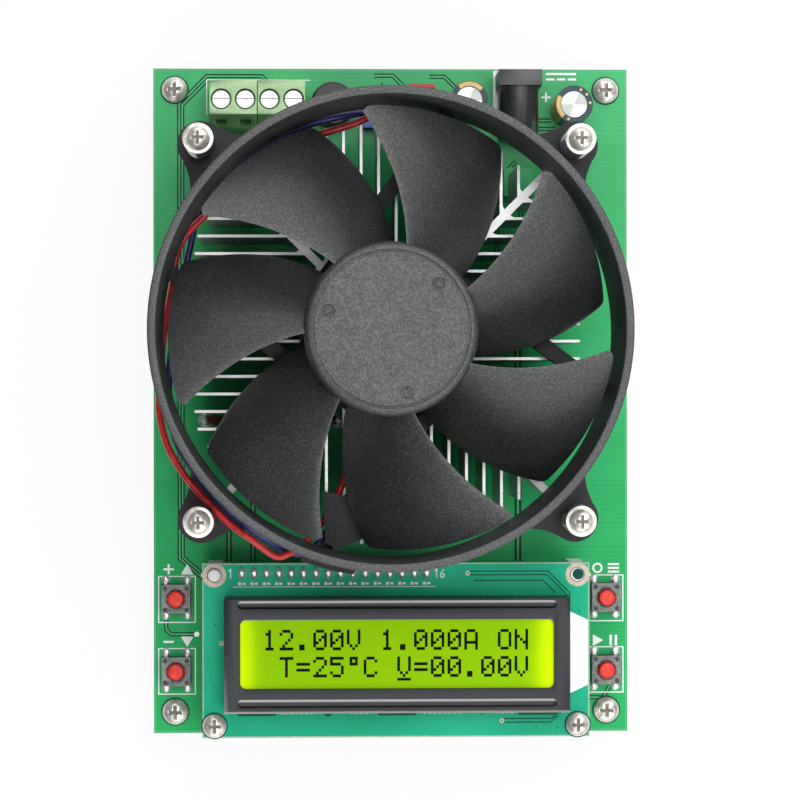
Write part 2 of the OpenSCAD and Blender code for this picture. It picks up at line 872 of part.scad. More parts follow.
// Point of a blade: s runs root to tip, c leading to trailing edge, side is -1 or 1
function blade_r(s, c) =
    let (
        lead = lead_corner * pow(max(0, 1 - c / blade_edge), 2),
        tail = tail_corner * pow(max(0, 1 - (1 - c) / blade_edge), 2)
    )
    blade_root_r + s * (blade_tip_r - blade_root_r - lead - tail);
function blade_point(s, c, side) =
    let (
        r = blade_r(s, c),
        chord = blade_chord_root + (blade_chord_tip - blade_chord_root) * s,
        a = blade_first + blade_sweep * s - c * chord,
        z = blade_high - (blade_high - blade_low) * c * (1 - blade_camber + blade_camber * c),
        t = blade_t * (1.4 - 0.4 * s) * (0.3 + 0.7 * sqrt(sin(180 * min(1, max(0, c)))))
    )
    [r * cos(a), r * sin(a), z + side * t / 2];

module blade() {
    w = blade_cols + 1;
    half = (blade_rows + 1) * w;
    points = [
        for (side = [1, -1], i = [0:blade_rows], j = [0:blade_cols])
        blade_point(i / blade_rows, j / blade_cols, side)
    ];
    upper = [
        for (i = [0:blade_rows - 1], j = [0:blade_cols - 1])
        let (a = i * w + j)
        each [[a, a + w, a + 1], [a + 1, a + w, a + w + 1]]
    ];
    lower = [for (f = upper) [f[0] + half, f[2] + half, f[1] + half]];
    rim = concat(
        [for (j = [0:blade_cols - 1]) [j, j + 1]],
        [for (i = [0:blade_rows - 1]) [i * w + blade_cols, (i + 1) * w + blade_cols]],
        [for (j = [blade_cols:-1:1]) [blade_rows * w + j, blade_rows * w + j - 1]],
        [for (i = [blade_rows:-1:1]) [i * w, (i - 1) * w]]
    );
    edge = [
        for (e = rim)
        each [[e[0], e[1], e[0] + half], [e[1], e[1] + half, e[0] + half]]
    ];
    polyhedron(points = points, faces = concat(upper, lower, edge));
}

module impeller() {
    color("#333336")
    on_fan()
    union() {
        difference() {
            rotate_extrude() hub_profile();
            for (a = [43.75:120:283.75]) {
                rotate(a) translate([mark_r, 0, hub_top - mark_d]) pipe(mark_out, mark_in, 1);
            }
        }
        for (i = [0:blade_count - 1]) rotate(-i * 360 / blade_count) blade();
    }
}

module rotor_yoke() {
    roof = hub_top - hub_roof;
    color("slategray")
    on_fan()
    difference() {
        translate([0, 0, hub_z0 + yoke_inset]) cylinder(r = yoke_r, h = roof - hub_z0 - yoke_inset);
        translate([0, 0, hub_z0]) cylinder(r = yoke_r - yoke_t, h = roof - yoke_t - hub_z0);
        cylinder(r = yoke_hole_r, h = ring_top);
    }
}

module rotor_magnet() {
    color("#3c3836")
    on_fan()
    translate([0, 0, hub_z0 + magnet_inset])
    pipe(yoke_r - yoke_t - fit_gap, yoke_r - yoke_t - fit_gap - magnet_t, magnet_h);
}

module fan_shaft() {
    color("silver")
    on_fan()
    translate([0, 0, sink_top + shaft_lift])
    cylinder(r = shaft_r, h = hub_top - hub_roof - sink_top - shaft_lift);
}

module sleeve_bearing() {
    color("goldenrod")
    on_fan()
    translate([0, 0, base_top]) pipe(bush_r - fit_gap, shaft_r + bush_gap, tube_top - base_top);
}

module stator_outline() {
    difference() {
        union() {
            circle(core_ring_r);
            for (a = [0:90:270]) rotate(a) translate([0, -tooth_w / 2])
            square([stator_r - shoe_t / 2, tooth_w]);
            for (a = [0:90:270]) {
                rotate(a)
                intersection() {
                    difference() {
                        circle(stator_r);
                        circle(stator_r - shoe_t);
                    }
                    polygon([[0, 0], [stator_r + 2, -stator_r * 0.62], [stator_r + 2, stator_r * 0.62]]);
                }
            }
        }
        circle(tube_r + fit_gap);
    }
}

module stator_core() {
    color("lightslategray")
    on_fan()
    translate([0, 0, stator_z0]) linear_extrude(stator_h) stator_outline();
}

module stator_coils() {
    coil_l = coil_out - coil_in;
    color("peru")
    on_fan()
    for (a = [0:90:270]) {
        rotate(a) translate([coil_in + coil_l / 2, 0, stator_z0 - coil_over])
        difference() {
            block(coil_l, 2 * coil_half, stator_h + 2 * coil_over);
            translate([0, 0, coil_over - coil_gap])
            block(coil_l + 2, tooth_w + 2 * coil_gap, stator_h + 2 * coil_gap);
        }
    }
}

module motor_board() {
    color("darkgreen")
    on_fan() {
        translate([0, 0, base_top]) pipe(motor_board_r, tube_r + motor_board_gap, motor_board_t);
        translate([sensor_at.x, sensor_at.y, base_top + motor_board_t]) block(sensor_w, sensor_l, sensor_h);
    }
}

module clamp_screws() {
    shank = ear_top + spring_h + board_t + nut_h + screw_over;
    color("silver")
    on_fan()
    for (p = ears) {
        translate([p.x, p.y, ear_top + spring_h]) {
            cylinder(r = screw_flange_r, h = screw_flange_h);
            translate([0, 0, screw_flange_h - eps]) pan_head(screw_head_r, screw_head_h);
            translate([0, 0, -shank]) cylinder(r = clamp_thread, h = shank + eps);
        }
    }
}

module clamp_springs() {
    rings = spring_turns * spring_steps;
    rise = (spring_h - spring_wire - 2 * spring_gap) / rings;
    low = ear_top + spring_gap + spring_wire / 2;
    path = [
        for (i = [0:rings])
        let (a = spring_start + i * 360 / spring_steps)
        [spring_r * cos(a), spring_r * sin(a), low + i * rise]
    ];
    color("lightgray")
    on_fan()
    for (p = ears) translate([p.x, p.y, 0]) tube(path, spring_wire / 2, 6, [0, 0, 1]);
}

module clamp_nuts() {
    color("silver")
    for (p = ears) {
        translate([p.x + fan_pos.x, p.y + fan_pos.y, foot_h - nut_h])
        difference() {
            hexagon(nut_af, nut_h);
            translate([0, 0, -1]) cylinder(r = clamp_thread + fit_gap, h = nut_h + 2);
        }
    }
}

module fan_wire_red() {
    color("red") on_fan() tube(smooth(red_route, wire_steps), wire_r, wire_sides, [0.1, 0.2, 1]);
}

module fan_wire_blue() {
    color("midnightblue") on_fan() tube(smooth(blue_route, wire_steps), wire_r, wire_sides, [0.1, 0.2, 1]);
}

module fan_connector() {
    color("crimson")
    on_board(plug_pos)
    difference() {
        union() {
            block(plug_w, plug_l, plug_base);
            translate([0, plug_shift, plug_base - eps])
            block(plug_w - 2 * plug_side, plug_l - plug_end, plug_h - plug_base);
            translate([-plug_w / 2, plug_l / 2 - plug_lip, plug_base - eps])
            cube([plug_w, plug_lip, plug_h - plug_base + plug_lip_up]);
        }
        for (s = [-1, 1]) {
            translate([s * plug_wire, -plug_row, plug_h - plug_base])
            cylinder(r = wire_r + plug_fit, h = plug_h);
        }
    }
}

module lcd_board() {
    color("#1f8a6a")
    difference() {
        on_board(lcd_pos) translate([0, 0, lcd_z]) block(lcd_w, lcd_l, board_t);
        for (sx = [-1, 1], sy = [-1, 1]) {
            on_board(lcd_pos + [sx * lcd_hole_x, sy * lcd_hole_y])
            translate([0, 0, lcd_z - 1]) cylinder(r = lcd_hole_r, h = board_t + 2);
        }
        for (p = lcd_pin_list) on_board(p) translate([0, 0, lcd_z - 1])
        cylinder(r = pin_hole_r, h = board_t + 2, $fn = 16);
    }
}

module bead() {
    for (s = [-1, 1]) translate([s * (bead_l - bead_w) / 2, 0, 0]) cylinder(r = bead_w / 2, h = 2);
    block(bead_l - bead_w, bead_w, 2);
}

module window_outline() {
    square([window_w, window_l - 2 * window_corner], center = true);
    square([window_w - 2 * window_corner, window_l], center = true);
    for (sx = [-1, 1], sy = [-1, 1]) {
        translate([sx * (window_w / 2 - window_corner), sy * (window_l / 2 - window_corner)])
        circle(window_corner);
    }
}

module lcd_bezel() {
    color("#26272b")
    on_board(lcd_pos + [0, bezel_off])
    translate([0, 0, lcd_top])
    difference() {
        block(bezel_w, bezel_l, bezel_h);
        translate([0, 0, -1]) block(bezel_w - 2 * bezel_t, bezel_l - 2 * bezel_t, bezel_h - bezel_t + 1);
        translate([0, window_off, 0]) linear_extrude(bezel_h + 1) window_outline();
        for (s = [-1, 1]) translate([0, s * bead_y + bead_off, bezel_h - bead_d]) bead();
        translate([bezel_w / 2, 0, -1]) block(tab_w, tab_l + 2 * tab_gap, tab_h + tab_gap + 1);
    }
}

module lcd_glass() {
    color("yellowgreen")
    on_board(lcd_pos + [0, bezel_off])
    translate([0, window_off, lcd_top + bezel_h - bezel_t - glass_t])
    block(window_w + 2 * glass_margin, window_l + 2 * glass_margin, glass_t);
}

module lcd_backlight() {
    box_h = bezel_h - bezel_t - glass_t;
    tab_root = window_side + light_margin;
    color("#f2f4dc")
    on_board(lcd_pos + [0, bezel_off])
    translate([0, 0, lcd_top]) {
        translate([0, window_off, 0])
        block(window_w + 2 * light_margin, window_l + 2 * light_margin, box_h);
        translate([window_w / 2, 0, 0]) linear_extrude(tab_h) polygon([
            [0, -tab_l / 2], [tab_root, -tab_l / 2], [tab_root + tab_w, -tab_l / 2 + tab_chamfer],
            [tab_root + tab_w, tab_l / 2 - tab_chamfer], [tab_root, tab_l / 2], [0, tab_l / 2]
        ]);
    }
}

module lcd_drivers() {
    ball = (blob_r * blob_r + blob_h * blob_h) / (2 * blob_h);
    color("#1a1a1c")
    for (s = [-1, 1]) {
        on_board(lcd_pos + [s * blob_at.x, blob_at.y])
        translate([0, 0, lcd_z])
        intersection() {
            translate([0, 0, ball - blob_h]) sphere(r = ball);
            translate([0, 0, -blob_h]) cylinder(r = blob_r + 1, h = blob_h);
        }
    }
}

module lcd_pins() {
    color("silver")
    for (p = lcd_pin_list) {
        on_board(p) {
            translate([0, 0, -board_t])
            cylinder(r = lcd_pin_r, h = board_t + lcd_top + lcd_pin_over, $fn = 16);
            translate([0, 0, lcd_top]) cylinder(r1 = lcd_joint_r, r2 = lcd_pin_r, h = lcd_joint_h, $fn = 16);
        }
    }
}

module lcd_socket() {
    strip = lcd_pin_count * lcd_pin_pitch;
    mid = [lcd_pin_x + (lcd_pin_count - 1) * lcd_pin_pitch / 2, lcd_pin_y];
    color("#1d1d1f")
    difference() {
        on_board(mid) {
            block(strip, socket_w, socket_h);
            translate([0, 0, socket_h]) block(strip, socket_w, lcd_gap - socket_h);
        }
        for (p = lcd_pin_list) on_board(p) translate([0, 0, -1])
        cylinder(r = pin_hole_r, h = lcd_gap + 2, $fn = 16);
    }
}

module lcd_standoffs() {
    color("whitesmoke")
    for (s = [-1, 1]) {
        on_board(lcd_pos + [s * lcd_hole_x, -lcd_hole_y])
        difference() {
            hexagon(lcd_post_af, lcd_gap);
            translate([0, 0, -1]) cylinder(r = m3_tap, h = lcd_gap + 2);
        }
        on_board(lcd_pos + [s * lcd_hole_x, lcd_hole_y]) {
            hexagon(lcd_post_af, lcd_gap);
            translate([0, 0, lcd_gap - eps]) cylinder(r = lcd_peg_r, h = board_t);
        }
    }
}

module lcd_screws() {
    color("silver")
    for (s = [-1, 1]) {
        on_board(lcd_pos + [s * lcd_hole_x, -lcd_hole_y]) {
            translate([0, 0, lcd_top]) pan_head(lcd_head_r, lcd_head_h);
            translate([0, 0, lcd_gap - lcd_reach]) cylinder(r = m3_thread, h = board_t + lcd_reach + eps);
            translate([0, 0, -board_t]) mirror([0, 0, 1]) pan_head(lcd_head_r, lcd_head_h);
            translate([0, 0, -board_t - eps]) cylinder(r = m3_thread, h = board_t + lcd_reach);
        }
    }
}

module switch_bodies() {
    color("#1b1b1d")
    for (p = switches) {
        on_board(p)
        difference() {
            union() {
                block(switch_w, switch_w, switch_h);
                for (sx = [-1, 1], sy = [-1, 1]) {
                    translate([sx * post_in, sy * post_in, switch_h - eps])
                    cylinder(r = post_r, h = cover_t + post_over);
                }
            }
            translate([0, 0, switch_floor]) cylinder(r = flange_r + flange_gap, h = switch_h);
        }
    }
}

module switch_covers() {
    color("#8d9094")
    for (p = switches) {
        on_board(p)
        translate([0, 0, switch_h])
        difference() {
            block(switch_w, switch_w, cover_t);
            translate([0, 0, -1]) cylinder(r = cap_r + cap_gap, h = 3);
            for (sx = [-1, 1], sy = [-1, 1]) translate([sx * post_in, sy * post_in, -1])
            cylinder(r = post_r + post_gap, h = 3);
        }
    }
}

module switch_domes() {
    ball = (dome_r * dome_r + dome_h * dome_h) / (2 * dome_h);
    color("silver")
    for (p = switches) {
        on_board(p)
        translate([0, 0, switch_floor])
        difference() {
            intersection() {
                translate([0, 0, dome_h - ball]) sphere(r = ball);
                cylinder(r = 2 * dome_r, h = 2 * dome_h);
            }
            translate([0, 0, dome_h - ball]) sphere(r = ball - dome_t);
        }
    }
}

module switch_legs() {
    color("silver")
    for (p = switches, sx = [-1, 1], sy = [-1, 1]) {
        on_board(p + [sx * leg_x, sy * leg_y]) {
            block(leg_w, 2 * (leg_y - switch_w / 2), leg_h);
            translate([0, 0, -board_t]) cylinder(r = pin_r, h = board_t + eps, $fn = 16);
        }
    }
}

// Red push cap with the flange that keeps it under the cover plate
module push_cap(p) {
    color("#c8302a")
    on_board(p) {
        translate([0, 0, flange_z]) cylinder(r = flange_r, h = flange_t - flange_play);
        translate([0, 0, nub_z]) cylinder(r = nub_r, h = flange_z - nub_z + eps);
        rotate_extrude()
        difference() {
            union() {
                translate([0, flange_z]) square([cap_r, cap_top - cap_edge - flange_z]);
                translate([0, flange_z]) square([cap_r - cap_edge, cap_top - flange_z]);
                translate([cap_r - cap_edge, cap_top - cap_edge]) circle(cap_edge);
            }
            translate([0, cap_top + dish_up]) circle(dish_r);
            translate([-cap_r, 0]) square([cap_r, 2 * cap_top]);
        }
    }
}

module button_increase() {
    push_cap(switches[0]);
}

module button_reduce() {
    push_cap(switches[1]);
}

module button_set() {
    push_cap(switches[2]);
}

module button_start() {
    push_cap(switches[3]);
}

module terminal_side() {
    polygon([
        [term_back, 0], [term_front, 0], [term_front, term_h],
        [term_ridge, term_h], [term_back, term_foot_h]
    ]);
}

// One two-pole block; the second is the same, moved along
module terminal_block(first) {
    middle = (poles[first] + poles[first + 1]) / 2;
    width = 2 * pole_pitch - term_gap;
    difference() {
        translate([middle - width / 2, term_y, board_top])
        rotate([90, 0, 90]) linear_extrude(width) terminal_side();
        for (i = [first, first + 1]) on_board([poles[i], term_y]) terminal_cuts();
    }
}

module terminal_cuts() {
    slope = atan2(term_h - term_foot_h, term_ridge - term_back);
    cavity_l = cavity_front - cavity_back;
    translate([-cavity_w / 2, cavity_back, -1]) cube([cavity_w, cavity_l, ledge_z0 + 1]);
    translate([0, 0, ledge_z0 - 1]) cylinder(r = driver_clear, h = term_h);
    translate([0, 0, ledge_z0 + ledge_t]) cylinder(r = well_r, h = term_h);
    translate([-entry_w / 2, 0, entry_z]) cube([entry_w, term_front + 1, entry_h]);
    translate([0, (term_ridge + term_back) / 2, (term_h + term_foot_h) / 2])
    rotate([slope, 0, 0]) translate([-probe_w / 2, -probe_w / 2, -probe_d])
    cube([probe_w, probe_w, 2 * probe_d]);
}

module terminal_housings() {
    color("#3fb44a") {
        terminal_block(0);
        terminal_block(2);
    }
}

module terminal_contacts() {
    color("silver")
    for (x = poles) {
        on_board([x, term_y]) {
            translate([-bar_w / 2, bar_back - bar_gap, bar_z]) cube([bar_w, cavity_front - bar_back, bar_t]);
            translate([-bar_w / 2, bar_back - bar_gap, bar_gap]) cube([bar_w, bar_t, bar_z - bar_gap + eps]);
            translate([0, bar_back, -board_t]) cylinder(r = pin_r, h = board_t + bar_gap + eps, $fn = 16);
        }
    }
}

// Slotted clamping screw of one pole
module driver(i) {
    color("silver")
    on_board([poles[i], term_y])
    translate([0, 0, ledge_z0 + ledge_t])
    difference() {
        union() {
            cylinder(r = driver_r, h = driver_h);
            translate([0, 0, -ledge_z0 - ledge_t + bar_z + bar_t + driver_rest])
            cylinder(r = driver_shank, h = ledge_z0 + ledge_t - bar_z - bar_t);
        }
        translate([0, 0, driver_h - slot_d]) block(2 * driver_r + 1, slot_w, 2);
    }
}

// Rising cage that lifts the wire against the contact bar
module cage(i) {
    roof_top = cage_roof_z + cage_floor;
    color("#c9b26a")
    on_board([poles[i], term_y])
    difference() {
        translate([0, 0, cage_z0]) block(cage_w, cage_l, roof_top - cage_z0);
        translate([0, 0, cage_z0 + cage_floor])
        block(cage_w - 2 * cage_wall, cage_l + 2, cage_roof_z - cage_z0 - cage_floor);
        translate([0, 0, cage_roof_z - 1]) cylinder(r = driver_shank + driver_fit, h = 4);
    }
}

module terminal_screw_1() {
    driver(0);
}

module terminal_screw_2() {
    driver(1);
}

module terminal_screw_3() {
    driver(2);
}

module terminal_screw_4() {
    driver(3);
}

module terminal_cage_1() {
    cage(0);
}

module terminal_cage_2() {
    cage(1);
}

module terminal_cage_3() {
    cage(2);
}

module terminal_cage_4() {
    cage(3);
}

module jack_body() {
    color("#1e1e20")
    on_board([jack_x, jack_front_y])
    difference() {
        union() {
            translate([-jack_w / 2, -jack_face_t, 0]) cube([jack_w, jack_face_t, jack_h]);
            translate([-jack_barrel_r, -jack_l, 0]) cube([2 * jack_barrel_r, jack_l - jack_step, jack_z]);
            translate([0, -jack_step, jack_z]) rotate([90, 0, 0])
            cylinder(r = jack_barrel_r, h = jack_l - jack_step);
        }
        translate([0, 1, jack_z]) rotate([90, 0, 0]) cylinder(d = jack_bore, h = jack_bore_l + 1);
        translate([0, 0, jack_z]) rotate([90, 0, 0]) cylinder(r = jack_root_r + fit_gap, h = jack_l + 1);
        translate([-rear_slot_w / 2, -jack_l - 1, -1])
        cube([rear_slot_w, rear_slot_l + 1, jack_z + rear_slot_up + 1]);
        translate([-(leaf_w + leaf_gap) / 2, -leaf_from - leaf_gap, -1])
        cube([leaf_w + leaf_gap, leaf_l + 2 * leaf_gap, jack_z - jack_bore / 2 + leaf_gap / 2 + 1]);
    }
}

module jack_contacts() {
    leaf_z = jack_z - jack_bore / 2 - leaf_under;
    color("silver")
    on_board([jack_x, jack_front_y]) {
        translate([0, -jack_pin_tip, jack_z]) rotate([90, 0, 0])
        cylinder(d = jack_pin, h = jack_bore_l - jack_pin_tip + eps);
        translate([0, -jack_bore_l, jack_z]) rotate([90, 0, 0])
        cylinder(r = jack_root_r, h = jack_back - jack_bore_l);
        translate([-rear_w / 2, -jack_back, bar_gap]) cube([rear_w, bar_t, jack_z + rear_up]);
        translate([0, -jack_back + bar_t / 2, -board_t])
        cylinder(r = pin_r, h = board_t + bar_gap + eps, $fn = 16);
        translate([-leaf_w / 2, -leaf_from, leaf_z - leaf_t]) cube([leaf_w, leaf_l, leaf_t]);
        translate([-leaf_w / 2, -leaf_leg - bar_t / 2, bar_gap])
        cube([leaf_w, bar_t, leaf_z - bar_gap - leaf_t + eps]);
        translate([0, -leaf_leg, -board_t]) cylinder(r = pin_r, h = board_t + bar_gap + eps, $fn = 16);
    }
}

module capacitor_cans() {
    can_r = capacitor_d / 2 - sleeve_t - fit_gap;
    can_top = capacitor_h - sleeve_t;
    color("lightgray")
    for (p = capacitors) {
        on_board(p)
        difference() {
            cylinder(r = can_r, h = can_top);
            for (a = [0, 60, 120]) rotate(a) translate([0, 0, can_top - vent_d]) block(vent_l, vent_w, 1);
        }
    }
}

module capacitor_sleeves() {
    color("#1e3a44")
    for (p = capacitors) {
        on_board(p) {
            pipe(capacitor_d / 2, capacitor_d / 2 - sleeve_t, capacitor_h - sleeve_t + eps);
            translate([0, 0, capacitor_h - sleeve_t])
            pipe(capacitor_d / 2, capacitor_d / 2 - sleeve_lip, sleeve_t);
        }
    }
}

module buzzer() {
    color("#161618")
    on_board(buzzer_pos)
    rotate_extrude()
    difference() {
        polygon([
            [0, 0], [buzzer_r, 0], [buzzer_r, buzzer_h - buzzer_rim],
            [buzzer_r - buzzer_rim, buzzer_h], [0, buzzer_h]
        ]);
        translate([0, buzzer_h - buzzer_hole_d]) square([buzzer_hole_r, buzzer_hole_d + 1]);
    }
}

module trimmer_body() {
    color("royalblue")
    on_board(trimmer_pos)
    difference() {
        block(trimmer_w, trimmer_w, trimmer_h);
        translate([0, 0, trimmer_well_z]) cylinder(r = trimmer_rotor_r + trimmer_gap, h = trimmer_h);
        translate([0, 0, trimmer_shaft_z]) cylinder(r = trimmer_shaft_r + driver_fit, h = trimmer_h);
    }
}

module trimmer_rotor() {
    disc_z = trimmer_well_z + trimmer_play;
    shaft_z = trimmer_shaft_z + 2 * trimmer_play;
    color("ivory")
    on_board(trimmer_pos)
    difference() {
        union() {
            translate([0, 0, disc_z]) cylinder(r = trimmer_rotor_r, h = trimmer_h + trimmer_over - disc_z);
            translate([0, 0, shaft_z]) cylinder(r = trimmer_shaft_r, h = disc_z - shaft_z + eps);
        }
        for (a = [0, 90]) {
            rotate(a) translate([0, 0, trimmer_h + trimmer_over - cross_d]) block(cross_l, cross_w, 2);
        }
    }
}

main_board();
solder_joints();
board_feet();
board_screws();
control_chips();
component_leads();
heatsink();
power_transistor();
transistor_leads();
shunt_wire();
fan_frame();
impeller();
rotor_yoke();
rotor_magnet();
fan_shaft();
sleeve_bearing();
stator_core();
stator_coils();
motor_board();
clamp_screws();
clamp_springs();
clamp_nuts();
fan_wire_red();
fan_wire_blue();
fan_connector();
lcd_board();
lcd_bezel();
lcd_glass();
lcd_backlight();
lcd_drivers();
lcd_pins();
lcd_socket();
lcd_standoffs();
lcd_screws();
switch_bodies();
switch_covers();
switch_domes();
switch_legs();
button_increase();
button_reduce();
button_set();
button_start();
terminal_housings();
terminal_contacts();
terminal_screw_1();
terminal_screw_2();
terminal_screw_3();
terminal_screw_4();
terminal_cage_1();
terminal_cage_2();
terminal_cage_3();
terminal_cage_4();
jack_body();
jack_contacts();
capacitor_cans();
capacitor_sleeves();
buzzer();
trimmer_body();
trimmer_rotor();
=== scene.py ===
import json
import math

import bpy
import bmesh
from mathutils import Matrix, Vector
from mathutils.geometry import delaunay_2d_cdt

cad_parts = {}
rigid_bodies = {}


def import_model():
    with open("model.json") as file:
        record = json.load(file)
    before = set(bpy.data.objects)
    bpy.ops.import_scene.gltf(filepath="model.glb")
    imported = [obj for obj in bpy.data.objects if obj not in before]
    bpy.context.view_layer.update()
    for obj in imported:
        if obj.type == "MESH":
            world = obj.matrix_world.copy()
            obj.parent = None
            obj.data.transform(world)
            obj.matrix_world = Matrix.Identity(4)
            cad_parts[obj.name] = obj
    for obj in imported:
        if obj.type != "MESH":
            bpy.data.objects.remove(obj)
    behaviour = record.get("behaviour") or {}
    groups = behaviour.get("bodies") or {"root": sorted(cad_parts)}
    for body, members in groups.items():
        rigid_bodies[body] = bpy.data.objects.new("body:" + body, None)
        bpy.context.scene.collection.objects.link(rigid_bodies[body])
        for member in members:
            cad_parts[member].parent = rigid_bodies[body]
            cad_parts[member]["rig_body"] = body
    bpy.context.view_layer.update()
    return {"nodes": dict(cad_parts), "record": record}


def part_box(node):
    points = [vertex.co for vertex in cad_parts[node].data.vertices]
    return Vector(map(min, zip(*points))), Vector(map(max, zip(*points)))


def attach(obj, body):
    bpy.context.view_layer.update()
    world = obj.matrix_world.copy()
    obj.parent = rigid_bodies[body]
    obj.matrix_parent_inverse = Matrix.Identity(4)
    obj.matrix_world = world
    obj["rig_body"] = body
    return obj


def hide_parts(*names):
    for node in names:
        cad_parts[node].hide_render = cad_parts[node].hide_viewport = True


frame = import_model()
nodes = frame["nodes"]
scene = bpy.context.scene

# All lengths below are millimetres; z is counted from the upper face of the main board
BOARD_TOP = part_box("main_board")[1].z * 1000
FAN_X, FAN_Y = -1.5, 13.6
LUGS = [(FAN_X + sx * 37, FAN_Y + sy * 37) for sx in (-1, 1) for sy in (-1, 1)]
CORNERS = [(sx * 45.5, sy * 65.5) for sx in (-1, 1) for sy in (-1, 1)]
SWITCHES = {"increase": (-45.2, -41.5), "reduce": (-45.2, -56.74), "set": (45.2, -41.5), "start": (45.2, -56.74)}
CAN_LEFT, CAN_RIGHT = (16.0, 62.3), (37.8, 61.4)
LCD_X, LCD_HOLE = 0.7, 37.5


def metres(x, y, z):
    return (x / 1000, y / 1000, (z + BOARD_TOP) / 1000)


# Materials

def linear(code):
    """Linear colour from a six-digit code."""
    parts = [int(code[i:i + 2], 16) / 255 for i in (0, 2, 4)]
    return [c / 12.92 if c <= 0.04045 else ((c + 0.055) / 1.055) ** 2.4 for c in parts] + [1.0]


class Paint:
    """A material with a principled shader and a short way to add nodes."""

    def __init__(self, name):
        self.mat = bpy.data.materials.new(name)
        self.mat.use_nodes = True
        self.tree = self.mat.node_tree
        self.tree.nodes.clear()
        self.out = self.add("ShaderNodeOutputMaterial")
        self.skin = self.add("ShaderNodeBsdfPrincipled")
        self.link(self.skin.outputs[0], self.out.inputs[0])
        self.where = self.add("ShaderNodeTexCoord").outputs["Object"]

    def add(self, kind, **sockets):
        node = self.tree.nodes.new(kind)
        for key, value in sockets.items():
            node.inputs[key.replace("_", " ")].default_value = value
        return node

    def link(self, a, b):
        self.tree.links.new(a, b)

    def set(self, **sockets):
        for key, value in sockets.items():
            self.skin.inputs[key.replace("_", " ")].default_value = value

    def stretch(self, x, y, z):
        node = self.add("ShaderNodeMapping")
        node.inputs["Scale"].default_value = (x, y, z)
        self.link(self.where, node.inputs["Vector"])
        return node.outputs[0]

    def noise(self, size, detail=3.0, vector=None, rough=0.55):
        """Noise with features of about size millimetres."""
        node = self.add("ShaderNodeTexNoise", Scale=1000 / size, Detail=detail, Roughness=rough)
        self.link(vector or self.where, node.inputs["Vector"])
        return node.outputs[0]

    def ramp(self, value, *stops):
        node = self.add("ShaderNodeValToRGB")
        marks = node.color_ramp.elements
        while len(marks) < len(stops):
            marks.new(0.5)
        for mark, (place, code) in zip(marks, stops):
            mark.position = place
            mark.color = linear(code) if isinstance(code, str) else (code, code, code, 1)
        self.link(value, node.inputs[0])
        return node.outputs[0]

    def span(self, value, low, high, a=0.0, b=1.0, smooth=False):
        node = self.add("ShaderNodeMapRange")
        if smooth:
            node.interpolation_type = "SMOOTHSTEP"
        for i, number in ((1, low), (2, high), (3, a), (4, b)):
            node.inputs[i].default_value = number
        self.link(value, node.inputs[0])
        return node.outputs[0]

    def math(self, kind, a, b=None):
        node = self.add("ShaderNodeMath")
        node.operation = kind
        for i, value in enumerate((a, b)):
            if value is None:
                continue
            if isinstance(value, (int, float)):
                node.inputs[i].default_value = value
            else:
                self.link(value, node.inputs[i])
        return node.outputs[0]

    def mix(self, fac, a, b, kind="MIX"):
        node = self.add("ShaderNodeMix")
        node.data_type = "RGBA"
        node.blend_type = kind
        for i, value in ((0, fac), (6, a), (7, b)):
            if isinstance(value, str):
                node.inputs[i].default_value = linear(value)
            elif isinstance(value, (int, float)):
                node.inputs[i].default_value = value
            else:
                self.link(value, node.inputs[i])
        return node.outputs[2]

    def place(self, x, y):
        """Position counted from a point that is given in millimetres."""
        node = self.add("ShaderNodeVectorMath")
        node.operation = "SUBTRACT"
        node.inputs[1].default_value = (x / 1000, y / 1000, 0)
        self.link(self.where, node.inputs[0])
        return node.outputs[0]

    def axis(self, name, vector=None):
        node = self.add("ShaderNodeSeparateXYZ")
        self.link(vector or self.where, node.inputs[0])
        return node.outputs[name]

    def facing(self, name):
        node = self.add("ShaderNodeNewGeometry")
        return self.axis(name, node.outputs["Normal"])

    def colour(self, socket):
        self.link(socket, self.skin.inputs["Base Color"])

    def roughness(self, socket):
        self.link(socket, self.skin.inputs["Roughness"])

    def bump(self, height, strength, depth):
        """Relief of depth millimetres."""
        node = self.add("ShaderNodeBump", Strength=strength, Distance=depth / 1000)
        self.link(height, node.inputs["Height"])
        self.link(node.outputs[0], self.skin.inputs["Normal"])


def moulded(name, dark, mid, light, rough=(0.4, 0.6), grain=0.45, relief=0.03, strength=0.5, spec=0.5):
    """Moulded plastic: fine grain in colour, gloss and relief."""
    p = Paint(name)
    fine = p.noise(grain, 2)
    wide = p.noise(14, 3)
    both = p.math("ADD", p.math("MULTIPLY", fine, 0.65), p.math("MULTIPLY", wide, 0.35))
    p.colour(p.ramp(both, (0.32, dark), (0.5, mid), (0.68, light)))
    p.roughness(p.span(fine, 0.3, 0.7, *rough))
    p.set(Specular_IOR_Level=spec)
    p.bump(fine, strength, relief)
    return p


def metal(name, dark, light, rough=(0.2, 0.35), size=3.0, stretch=(1, 1, 1), relief=0.01, metallic=1.0):
    """Plain metal with drawn or turned streaks and handling marks."""
    p = Paint(name)
    streak = p.noise(size, 4, p.stretch(*stretch))
    spot = p.noise(0.8, 3)
    p.colour(p.ramp(streak, (0.3, dark), (0.7, light)))
    p.roughness(p.span(p.math("ADD", streak, spot), 0.7, 1.3, *rough))
    p.set(Metallic=metallic)
    p.bump(spot, 0.25, relief)
    return p


